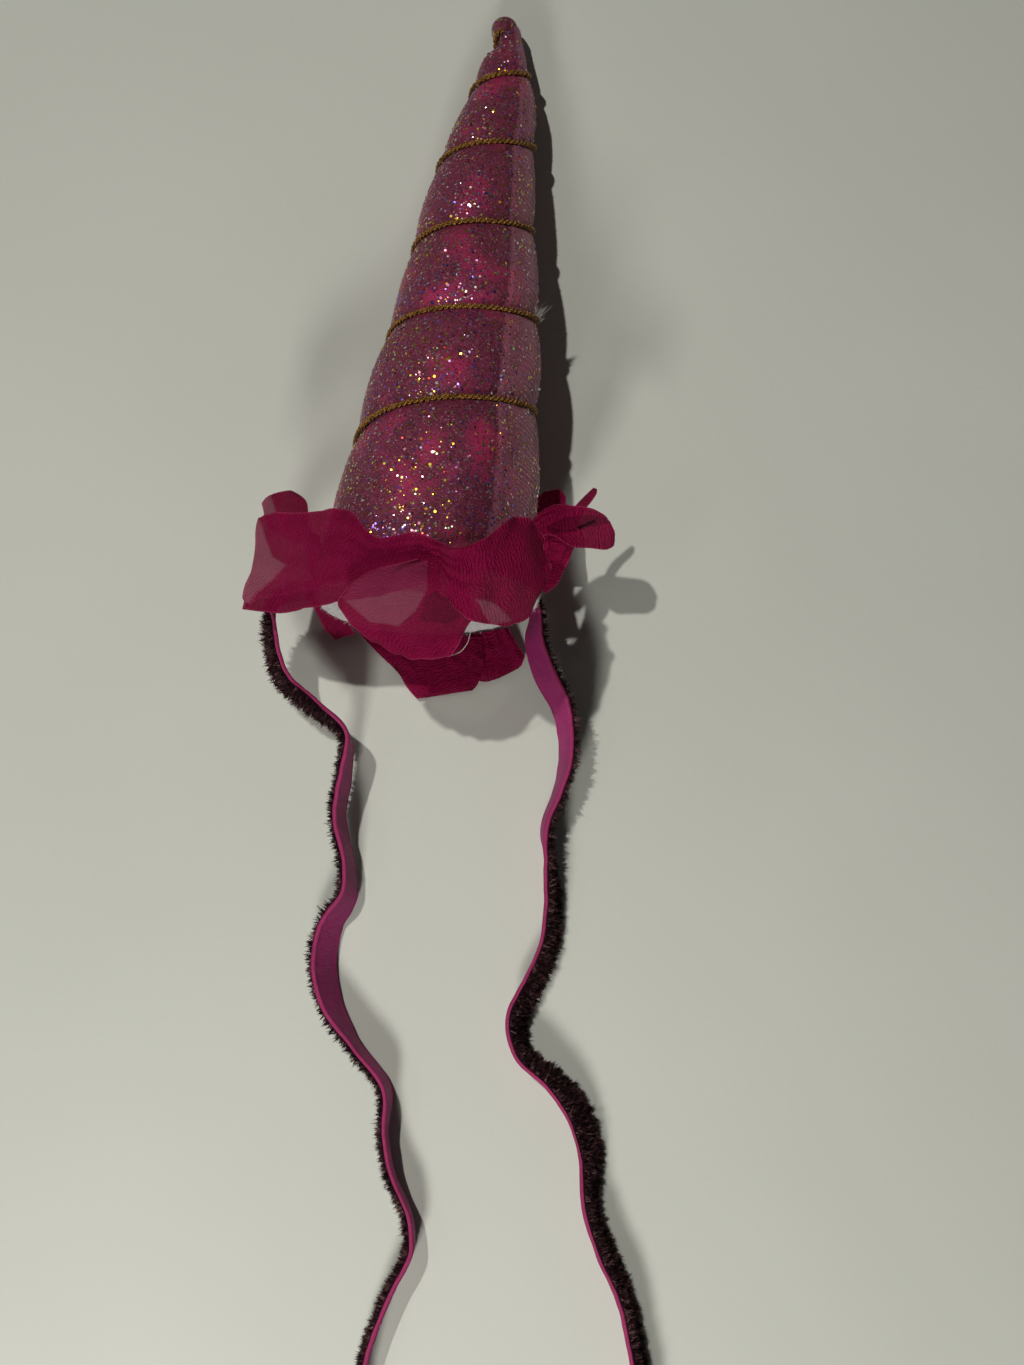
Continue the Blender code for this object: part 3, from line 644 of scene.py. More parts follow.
def horn_surface(length, angle):
    """Point, outward direction and groove share of the skin at a length and an angle from the top line.

    The radius is the groove floor plus the puff, small gathers that run out of the groove, slow dents, and
    the lengthwise seam, a crease with a ridge beside it. On the left a waist sets off the bulb at the tip.
    """
    spine, right, up = horn_frame(length)
    turns = turns_at(length, angle)
    puff, share = puff_height(turns, angle, length)
    radius = groove_radius(length)
    around = angle * 2 * np.pi * radius
    near = np.exp(-((np.minimum(share, 1 - share) / 0.13) ** 2))
    gathers = waves(around, 0.25 * length, 14, 0.0024, 0.0060, 3) * near
    dents = waves(around, length, 12, 0.010, 0.030, 5)
    fade = np.clip(radius / HORN_RADIUS, 0, 1)
    seam = (angle - SEAM_SIDE - 0.004 * np.sin(length / 0.011)) * 2 * np.pi * np.maximum(radius, 0.002)
    crease = -0.00035 * np.exp(-((seam / 0.0007) ** 2)) + 0.00022 * np.exp(-(((seam - 0.0013) / 0.0009) ** 2))
    radius = radius - tip_waist(length, angle)
    relief = 0.00011 * gathers + 0.00028 * dents * np.minimum(share, 1 - share) * 2
    lift = puff + fade * relief + crease * fade
    out = np.sin(2 * np.pi * angle)[..., None] * right + np.cos(2 * np.pi * angle)[..., None] * up
    return spine + (radius + np.maximum(lift, -0.0004) * (radius > 0.0004))[..., None] * out, out, share


def build_horn():
    """Skin of the horn on a grid of lengths and angles, closed at the tip and at the flat base."""
    rows, columns = 330, 270
    part = np.linspace(0, 1, rows)
    length = HORN_LENGTH * part
    angle = np.arange(columns) / columns - 0.5
    l, a = np.meshgrid(length, angle, indexing="ij")
    points, _, share = horn_surface(l, a)
    points[-1] = points[-1].mean(axis=0)
    around = a * 2 * np.pi * (0.62 * HORN_RADIUS)
    uv = np.stack([around, l], -1)
    seam = SEAM_SIDE + 0.004 * np.sin(l / 0.011)
    doubled = 1 / (1 + np.exp(-(a - seam) / 0.0015)) * np.clip((0.33 - a) / 0.03, 0, 1)
    # Painted shade for the tint's green: along the seam's crease and in the grooves.
    crease = np.exp(-(((a - seam) * 2 * np.pi * 0.015 / 0.0006) ** 2)) * 0.7
    deep = np.exp(-((np.minimum(share, 1 - share) / 0.035) ** 2))
    # Painted sheen: the sides, where the net is seen at a slant, get a paler net with wavy bands.
    sides = np.clip((np.abs(a + 0.03) - 0.155) / 0.05, 0, 1)
    tint = np.stack([doubled, np.maximum(crease, deep), sides], -1)
    spine, _, _ = horn_frame(np.array([0.0]))
    floor_points = [points.reshape(-1, 3)]
    inner = spine[0] + (points[0] - spine[0]) * 0.02
    floor_points.append(inner)
    faces = grid_faces(rows, columns, wrap_columns=True)[:, ::-1]
    c = np.arange(columns)
    base = rows * columns
    cap = np.stack([base + c, c, (c + 1) % columns, base + (c + 1) % columns], -1)[:, ::-1]
    faces = np.vstack([faces, cap])
    uv = np.vstack([uv.reshape(-1, 2), np.stack([around[0], 0 * around[0] - 0.002], -1)])
    tint = np.vstack([tint.reshape(-1, 3), tint[0]])
    return add_mesh("horn_skin", np.vstack(floor_points), faces, satin, uv, tint)


def build_foil(name, count, size, seed, lift):
    """Hexagonal foil dots strewn over the horn's skin, each tipped a little its own way, in its own colour."""
    own = np.random.default_rng(seed)
    tries = count * 3
    length = own.random(tries) ** 1.0 * HORN_LENGTH * 0.985 + 0.0006
    angle = own.random(tries) - 0.5
    keep = own.random(tries) < np.clip((groove_radius(length) + 0.002) / (HORN_RADIUS + 0.002), 0, 1)
    length, angle = length[keep][:count], angle[keep][:count]
    paler = (angle > SEAM_SIDE + 0.035) & (angle < 0.30)
    keep = ~paler | (own.random(len(length)) < 0.45)
    length, angle = length[keep], angle[keep]
    step = 2e-4
    centre, _, _ = horn_surface(length, angle)
    along = horn_surface(np.minimum(length + step, HORN_LENGTH), angle)[0] - centre
    across = horn_surface(length, angle + 0.003)[0] - centre
    along, across = unit(along), unit(across)
    normal = unit(np.cross(across, along))
    across = np.cross(along, normal)
    spread = own.normal(0, 0.17, (2, len(length)))
    normal_t = unit(normal + spread[0][:, None] * along + spread[1][:, None] * across)
    spin = own.random(len(length)) * 2 * np.pi
    e1 = unit(np.cross(normal_t, np.cos(spin)[:, None] * along + np.sin(spin)[:, None] * across))
    e2 = np.cross(normal_t, e1)
    radius = size * (0.7 + 0.7 * own.random(len(length)) ** 2)
    way = 2 * np.pi * np.arange(6) / 6
    ring = np.cos(way)[None, :, None] * e1[:, None, :] + np.sin(way)[None, :, None] * e2[:, None, :]
    points = (centre + lift * normal)[:, None, :] + radius[:, None, None] * ring
    base = 6 * np.arange(len(length))[:, None]
    faces = np.concatenate([base + np.array([0, 1, 2, 3]), base + np.array([0, 3, 4, 5])])
    hues = np.array(
        [
            (1.00, 0.94, 0.88),
            (1.00, 0.78, 0.10),
            (1.00, 0.42, 0.05),
            (0.34, 0.24, 1.00),
            (1.00, 0.10, 0.06),
            (0.95, 0.35, 0.50),
            (0.45, 0.95, 0.35),
            (0.75, 0.45, 0.80),
            (0.90, 0.30, 0.45),
        ]
    )
    warm = np.array([0.26, 0.24, 0.13, 0.04, 0.08, 0.09, 0.02, 0.03, 0.11])
    cool = np.array([0.20, 0.04, 0.04, 0.25, 0.06, 0.12, 0.01, 0.12, 0.16])
    around = angle * 2 * np.pi * groove_radius(length)
    mood = np.clip(0.5 + 0.8 * waves(around, length, 10, 0.012, 0.030, 14), 0, 1)[:, None]
    odds = np.cumsum(warm * mood + cool * (1 - mood), axis=1)
    kind = (own.random((len(length), 1)) * odds[:, -1:] > odds).sum(axis=1)
    tint = hues[kind] * (0.55 + 0.45 * own.random((len(length), 1)))
    tint = np.repeat(tint, 6, axis=0)
    return add_mesh(name, points.reshape(-1, 3), faces, foil, colours=tint, flat=True)


def sweep(name, centres, side, out, width, height, sides, material, uv_scale=1.0, closed=False, start=0.0):
    """A round or oval section, width by height, carried along centres."""
    way = 2 * np.pi * np.arange(sides) / sides
    width = np.broadcast_to(np.asarray(width, float), len(centres))
    height = np.broadcast_to(np.asarray(height, float), len(centres))
    ring = np.cos(way)[None, :, None] * side[:, None, :] * width[:, None, None]
    ring = ring + np.sin(way)[None, :, None] * out[:, None, :] * height[:, None, None]
    points = centres[:, None, :] + ring
    along = np.r_[0, np.cumsum(np.linalg.norm(np.diff(centres, axis=0), axis=1))] + start
    uv = np.stack(np.broadcast_arrays(way[None, :] / (2 * np.pi) * uv_scale, along[:, None]), -1)
    faces = grid_faces(len(centres), sides, wrap_rows=closed, wrap_columns=True)
    return points.reshape(-1, 3), faces, uv.reshape(-1, 2)


def frames_along(centres, out):
    """Tangent, side and outward directions along a line, the outward one squared to the tangent."""
    along = unit(np.gradient(centres, axis=0))
    out = unit(out - along * np.sum(out * along, axis=1)[:, None])
    return along, np.cross(along, out), out


def build_cord():
    """Two gold plies twisted round each other in the groove, with a slightly uneven twist and depth."""
    steps = 4600
    turns = np.linspace(0.14, 5.95, steps)
    angle = np.mod(turns + 0.5, 1.0) - 0.5
    length = spiral_length(turns, angle)
    spine, right, up = horn_frame(length)
    out = np.sin(2 * np.pi * angle)[:, None] * right + np.cos(2 * np.pi * angle)[:, None] * up
    sink = 0.00095 + 0.00012 * np.sin(turns * 9.1) + 0.00008 * np.sin(turns * 23.7)
    centres = spine + (groove_radius(length) + sink - tip_waist(length, angle))[:, None] * out
    along, side, out = frames_along(centres, out)
    run = np.r_[0, np.cumsum(np.linalg.norm(np.diff(centres, axis=0), axis=1))]
    twist = 2 * np.pi * (run / 0.0027 + 0.08 * np.sin(run / 0.007))
    radius = 0.00036 * (1 + 0.08 * np.sin(run / 0.00031))
    all_points, all_faces, all_uv = [], [], []
    base = 0
    for ply in (0.0, np.pi):
        way = twist + ply
        offset = np.cos(way)[:, None] * side + np.sin(way)[:, None] * out
        middle = centres + 0.00036 * offset
        points, faces, uv = sweep("ply", middle, side, out, radius, radius, 7, gold)
        all_points.append(points)
        all_faces.append(faces + base)
        all_uv.append(uv + np.array([ply, 0]))
        base += len(points)
    return add_mesh("twisted_gold_cord", np.vstack(all_points), np.vstack(all_faces), gold, np.vstack(all_uv))



def build_disc():
    """Felt disc: rings from the near face's middle over the rim to the far face's middle, all uneven."""
    near = [(0.0, 0.02), (0.0, 0.30), (0.0, 0.60), (0.0, 0.80), (0.0, 0.92), (0.06, 0.975), (0.25, 1.0)]
    profile = near + [(0.5, 1.006)] + [(1 - depth, radius) for depth, radius in reversed(near)]
    depth, radius = np.array(profile).T
    columns = 240
    angle = np.arange(columns) / columns
    d, a = np.meshgrid(depth, angle, indexing="ij")
    r = np.broadcast_to(radius[:, None], d.shape) * DISC_RADIUS
    way = 2 * np.pi * a
    ragged = waves(a * 0.16, d * 0.004, 16, 0.0009, 0.006, 21)
    dimple = waves(r * np.cos(way), r * np.sin(way) + d * 0.02, 16, 0.0012, 0.007, 22)
    r = r + (r > 0.9 * DISC_RADIUS) * 0.00012 * ragged
    thick = BASE_SEAM + DISC_THICKNESS * d + 0.00007 * dimple * np.where(d > 0.5, 1, -1)
    centre, right, up, back = base_plane()
    points = centre + thick[..., None] * back
    points = points + (r * np.sin(way))[..., None] * right + (r * np.cos(way))[..., None] * up
    uv = np.stack([r * np.cos(way), r * np.sin(way)], -1)
    faces = grid_faces(len(depth), columns, wrap_columns=True)
    return add_mesh("felt_disc", points, faces[:, ::-1], felt, uv.reshape(-1, 2))


def base_plane():
    """Centre, right, up and backward directions of the horn's base."""
    spine, right, up = horn_frame(np.array([0.0]))
    return spine[0], right[0], up[0], np.cross(right[0], up[0])


def build_fuzz(name, roots, ways, length, width, curl, seed, material, colours=None):
    """Short curved fibres: each is a bent tapering blade of three triangles, from its root along its way."""
    own = np.random.default_rng(seed)
    count = len(roots)
    ways = unit(ways)
    length = length * (0.6 + 0.8 * own.random(count))[:, None]
    flat = unit(np.cross(ways, own.normal(size=(count, 3))))
    bend = unit(np.cross(ways, flat)) * own.normal(0, curl, count)[:, None] * length
    half = 0.5 * width * (0.7 + 0.6 * own.random(count))[:, None]
    middle = roots + 0.55 * length * ways + 0.35 * bend
    tip = roots + length * unit(ways + 0.0) + bend
    thin = 0.8 * half * flat
    points = np.stack([roots - half * flat, roots + half * flat, middle + thin, middle - thin, tip], 1)
    points[..., 2] = np.maximum(points[..., 2], 0.0001)
    base = 5 * np.arange(count)[:, None]
    faces = np.concatenate([base + np.array(corners) for corners in ([0, 1, 2], [0, 2, 3], [3, 2, 4])])
    tint = None if colours is None else np.repeat(colours, 5, axis=0)
    return add_mesh(name, points.reshape(-1, 3), faces, material, colours=tint)


def build_felt_fuzz():
    """Loose fibres round the disc's rim and a frayed bit at its lower right."""
    own = np.random.default_rng(31)
    centre, right, up, back = base_plane()
    count = 3200
    way = 2 * np.pi * own.random(count)
    way[:420] = 2 * np.pi * (0.19 + 0.05 * own.normal(size=420))
    out = np.sin(way)[:, None] * right + np.cos(way)[:, None] * up
    depth = BASE_SEAM + DISC_THICKNESS * own.random(count)
    roots = centre + depth[:, None] * back + (DISC_RADIUS * 0.995) * out
    ways = out + 0.7 * own.normal(size=(count, 3))
    return build_fuzz("felt_fuzz", roots, ways, 0.0007, 0.00006, 0.4, 32, felt)


CROSSING = [
    (-1.05, -0.03),
    (-0.86, -0.07),
    (-0.45, -0.15),
    (0.00, -0.30),
    (0.45, -0.44),
    (0.82, -0.55),
    (0.97, -0.59),
]
STRANDS = [
    (0.116, -0.032, 0.70, 22),
    (0.128, -0.071, 0.60, 26),
    (0.144, -0.102, 0.53, 22),
    (0.151, -0.136, 0.41, 17),
    (0.150, -0.170, 0.26, 14),
    (0.142, -0.200, 0.14, 9),
    (0.128, -0.237, 0.03, 6),
    (0.131, -0.278, 0.00, -6),
    (0.134, -0.329, 0.00, -15),
    (0.130, -0.368, 0.00, -20),
    (0.113, -0.409, 0.00, -23),
    (0.094, -0.451, 0.00, -21),
    (0.101, -0.484, 0.00, -15),
    (0.132, -0.510, 0.00, -22),
    (0.157, -0.539, 0.00, -30),
    (0.174, -0.588, 0.00, -28),
    (0.174, -0.646, 0.00, -15),
    (0.189, -0.692, 0.00, -18),
    (0.210, -0.741, 0.00, -15),
    (0.223, -0.803, 0.00, -14),
    (0.229, -0.870, 0.00, -8),
    (0.194, -0.949, 0.00, 0),
    (0.083, -1.000, 0.00, 0),
    (-0.037, -0.944, 0.00, 0),
    (-0.076, -0.866, 0.00, 0),
    (-0.066, -0.801, 0.00, 0),
    (-0.043, -0.739, 0.00, 0),
    (-0.019, -0.685, 0.00, 0),
    (-0.023, -0.655, 0.00, 0),
    (-0.040, -0.616, 0.00, 0),
    (-0.049, -0.572, 0.00, 2),
    (-0.048, -0.523, 0.00, 7),
    (-0.081, -0.477, 0.00, 8),
    (-0.110, -0.427, 0.00, 25),
    (-0.118, -0.383, 0.00, 30),
    (-0.110, -0.344, 0.02, 26),
    (-0.091, -0.311, 0.17, 16),
    (-0.091, -0.280, 0.27, 10),
    (-0.101, -0.227, 0.41, 10),
    (-0.094, -0.177, 0.64, 8),
    (-0.092, -0.141, 0.81, 0),
    (-0.130, -0.107, 1.04, -12),
    (-0.159, -0.081, 1.24, -15),
    (-0.171, -0.041, 1.54, -15),
    (-0.166, -0.003, 1.86, -8),
    (-0.150, 0.006, 2.05, 3),
]


def band_frames(rings):
    """Centres, inward and upward directions and run along the loop, through the crossing and strand rows."""
    centre, right, up, back = base_plane()
    crossing = np.array(CROSSING) * DISC_RADIUS
    seam = centre + 0.5 * BASE_SEAM * back + crossing[:, :1] * right + crossing[:, 1:] * up
    seam = np.column_stack([seam, np.full(len(seam), math.degrees(dip))])
    rows = np.array(STRANDS, float)
    lean = np.radians(rows[:, 3])
    rest = 0.5 * (BAND_WIDTH * np.cos(lean) + BAND_THICKNESS * np.abs(np.sin(lean)))
    height = rest + rows[:, 2] * BAND_WIDTH
    line = np.vstack([seam, np.column_stack([rows[:, :2] * LOOP_REACH, height, rows[:, 3]])])
    pad = 3
    line = np.vstack([line[-pad:], line, line[: pad + 1]])
    knots = np.r_[0, np.cumsum(np.linalg.norm(np.diff(line[:, :2], axis=0), axis=1))]
    place = np.linspace(knots[pad], knots[-pad - 1], rings, endpoint=False)
    line = smooth(place, knots, line)
    centres = line[:, :3]
    along = unit(np.roll(centres, -1, axis=0) - np.roll(centres, 1, axis=0))
    outward = unit(np.column_stack([-along[:, 1], along[:, 0], 0 * along[:, 0]]))
    lean = np.radians(line[:, 3])[:, None]
    upward = np.cos(lean) * np.array([0, 0, 1]) + np.sin(lean) * outward
    upward = unit(upward - along * np.sum(upward * along, axis=1)[:, None])
    run = np.r_[0, np.cumsum(np.linalg.norm(np.diff(centres, axis=0), axis=1))]
    return centres, np.cross(along, upward), upward, run


def band_place(run, across, inward, frames):
    """Points of the band at a run along it, a distance across its width and a distance towards the inside."""
    centres, face, upward, knots = frames
    whole = knots[-1] + np.linalg.norm(centres[0] - centres[-1])
    run = np.mod(run, whole)
    knots = np.r_[knots, whole]
    parts = []
    for table_rows in (centres, face, upward):
        table_rows = np.vstack([table_rows, table_rows[:1]])
        parts.append(np.stack([np.interp(run, knots, table_rows[:, k]) for k in range(3)], -1))
    middle, face, upward = parts
    return middle + across[..., None] * upward + inward[..., None] * face, face, upward


def build_web(frames):
    """The smooth woven side: a flat section with rounded selvages and two fine grooves, carried round."""
    rings = 1500
    whole = frames[3][-1]
    run = np.arange(rings) / rings * (whole + np.linalg.norm(frames[0][0] - frames[0][-1]))
    half, thin = 0.5 * BAND_WIDTH - 0.00015, WEB_THICKNESS
    steps = [-1, -0.985, -0.95, -0.90, -0.86, -0.6, -0.3, 0, 0.3, 0.6, 0.86, 0.90, 0.95, 0.985, 1]
    across = np.array(steps) * half
    bulge = np.array([0.35, 0.62, 0.86, 0.95, 0.84, 0.98, 1, 1, 1, 0.98, 0.84, 0.95, 0.86, 0.62, 0.35]) * thin
    under = np.column_stack([across[::-1], -0.12 * thin + 0 * bulge])
    section = np.vstack([np.column_stack([across, bulge]), under])
    r, k = np.meshgrid(run, np.arange(len(section)), indexing="ij")
    wobble = 0.00009 * waves(r, 0 * r, 10, 0.004, 0.02, 41) * np.sign(section[k, 0])
    soft = 0.00006 * waves(r, section[k, 0] * 2, 12, 0.003, 0.012, 42)
    points, _, _ = band_place(r, section[k, 0] + wobble, section[k, 1] + soft + 0.00004, frames)
    uv = np.stack([r, section[k, 0]], -1)
    faces = grid_faces(rings, len(section), wrap_rows=True, wrap_columns=True)
    return add_mesh("elastic_web", points.reshape(-1, 3), faces, web, uv.reshape(-1, 2))


def pile_lean(run, across, seed):
    """How the pile is combed, as a tilt along and across that changes slowly with clumps in it."""
    slow = waves(run, across, 10, 0.004, 0.018, seed)
    clump = waves(run, across, 16, 0.0009, 0.0026, seed + 1)
    return 0.18 * slow + 0.45 * clump


def build_pile_bed(frames):
    """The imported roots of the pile: a low lumpy cushion, so no gap shows between the fibres."""
    rings, columns = 2200, 13
    whole = frames[3][-1] + np.linalg.norm(frames[0][0] - frames[0][-1])
    run = np.arange(rings) / rings * whole
    share = np.linspace(-1, 1, columns)
    r, w = np.meshgrid(run, share, indexing="ij")
    across = w * (0.5 * BAND_WIDTH - 0.0001)
    lumps = waves(r, across, 20, 0.0010, 0.0032, 43)
    height = (0.00085 + 0.00016 * lumps) * np.maximum(1 - np.abs(w) ** 6, 0) ** 0.5
    top, _, _ = band_place(r, across, -height, frames)
    floor_row, _, _ = band_place(run, 0 * run, 0 * run + 0.0001, frames)
    points = np.concatenate([top, floor_row[:, None, :]], axis=1)
    faces = grid_faces(rings, columns + 1, wrap_rows=True, wrap_columns=True)
    dark = np.array([0.012, 0.0022, 0.006])
    # Painted shade: darker in the cushion's dips, lighter on its lumps.
    tint = np.repeat((dark * (1 + 0.5 * lumps[..., None])).clip(0.001), 1, axis=0)
    tint = np.concatenate([tint, np.broadcast_to(dark, (rings, 1, 3))], axis=1)
    return add_mesh("pile_bed", points.reshape(-1, 3), faces[:, ::-1], pile, colours=tint.reshape(-1, 3))


def build_pile(frames):
    """The plush side's fibres: rooted all over the outer side, drawn together in small ragged clumps.

    The roots fall in cells under a millimetre wide. Each cell has a tip of its own place, length and shade,
    and a fibre leans from its root towards the tip of its cell.
    """
    own = np.random.default_rng(44)
    count = 65000
    whole = frames[3][-1] + np.linalg.norm(frames[0][0] - frames[0][-1])
    run = own.random(count) * whole
    share = own.random(count) * 2 - 1
    share = np.sign(share) * np.abs(share) ** 0.75
    across = share * (0.5 * BAND_WIDTH - 0.0002)
    roots, face, upward = band_place(run, across, np.full(count, -0.00035), frames)
    along = np.cross(upward, face)
    cell = 0.00085
    column = np.floor(across / cell + 50).astype(int)
    row = np.floor(run / cell + 0.5 * (column % 2)).astype(int)
    clump = own.random((row.max() + 1, 101, 5))[row, column]
    to_run = (row + 0.5 - 0.5 * (column % 2) + 0.9 * (clump[:, 0] - 0.5)) * cell - run
    to_across = (column - 50 + 0.5 + 0.9 * (clump[:, 1] - 0.5)) * cell - across
    lean_a = to_run / 0.0012 + pile_lean(run, across, 45) * 0.5 + 0.16 * own.normal(size=count)
    lean_b = to_across / 0.0012 + pile_lean(run, across, 47) * 0.5 + 0.16 * own.normal(size=count)
    lean_b = lean_b + 0.45 * np.sign(share) * np.abs(share) ** 4
    ways = -face + lean_a[:, None] * along + lean_b[:, None] * upward
    under_seam = (run < 0.050) | (run > whole - 0.003)
    length = 0.00085 + 0.00095 * clump[:, 2] ** 1.5 + 0.0002 * own.random(count)
    length = length * np.where(under_seam, 0.3, 1.0)
    ways = unit(ways)
    ways[:, 2] = np.maximum(ways[:, 2], (0.0001 - roots[:, 2]) / length)
    light = clump[:, 3] ** 2.2 * (0.4 + 0.6 * own.random(count))
    dark, dusty = np.array([0.018, 0.006, 0.008]), np.array([0.260, 0.130, 0.130])
    colours = dark + (dusty - dark) * light[:, None]
    return build_fuzz("pile_fibres", roots, ways, length[:, None], 0.00020, 0.18, 51, pile, colours)


# Petals, in the order that their random seeds follow. All but petal_left_back are spanned between two edges.
PETALS = [
    "petal_left_front",
    "petal_left_back",
    "petal_top",
    "petal_right_front",
    "petal_right_tongue",
    "petal_right_back",
    "petal_right_spike",
    "petal_right_side",
    "petal_bottom_left",
    "petal_bottom_right",
    "petal_low_left",
]

# Ribs of petal_left_back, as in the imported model. Shares of FLOWER_RADIUS: side, back, height over the base's
# middle and half width. Then heading and tilt in degrees, and the cup.
BACK_RIBS = [
    (-0.55, 0.22, 0.27, 0.07, 100, 0, 0.00),
    (-0.65, 0.39, 0.15, 0.12, 85, 6, 0.00),
    (-0.86, 0.47, 0.0, 0.12, 89, 20, 0.10),
]
# Its seat on the horn: turns of the groove, angle in turns, half width, heading, tilt and stand-off.
BACK_ROOT = (0.09, -0.170, 0.06, 104, 8, 0.48)
BACK_END = 0.30
PETAL_GAP = 0.0004

# Where the cloth lies in more or fewer layers: kind, edge softness, and corners in plan in millimetres. The
# deep and dark kinds and the slit are sunk and painted darker as shade; light is single cloth painted lighter.
FOLDS = {
    "petal_left_front": [
        ("light", 0.30, [(-38.6, 18.0), (-35.0, 8.0), (-31.4, 5.6), (-41.4, -2.4), (-43.5, 3.0)]),
        (
            "deep",
            0.45,
            [(-45.0, -1.4), (-38.0, -1.2), (-19.0, -0.6), (-17.0, -1.0), (-17.0, -7.0), (-45.0, -7.0)],
        ),
    ],
    "petal_left_back": [("light", 0.35, [(-40.0, 26.0), (-36.9, 25.0), (-35.0, 19.8), (-40.0, 18.0)])],
    "petal_top": [
        (
            "light",
            0.35,
            [(-17.8, -4.6), (-14.6, -1.0), (-6.6, 3.4), (1.2, 4.4)]
            + [(1.0, -3.0), (-1.6, -7.6), (-5.6, -10.6), (-11.8, -9.6)],
        ),
        (
            "grey",
            0.30,
            [(0.2, -4.8), (2.8, -3.2), (4.0, -4.6), (7.4, -5.4), (9.4, -7.6), (5.4, -9.6), (-1.0, -9.6)],
        ),
    ],
    "petal_right_front": [("light", 0.5, [(11.4, -5.6), (15.6, -6.0), (19.4, -9.6), (15.0, -11.0)])],
    "petal_right_tongue": [
        (
            "dark",
            0.45,
            [(27.6, 15.2), (31.6, 17.2), (36.9, 18.0), (41.9, 17.3)]
            + [(41.6, 16.4), (36.2, 15.3), (33.4, 14.3), (28.6, 13.8)],
        ),
        ("slit", 0.20, [(34.6, 15.3), (38.6, 17.1), (38.9, 16.6), (35.1, 14.8)]),
    ],
}

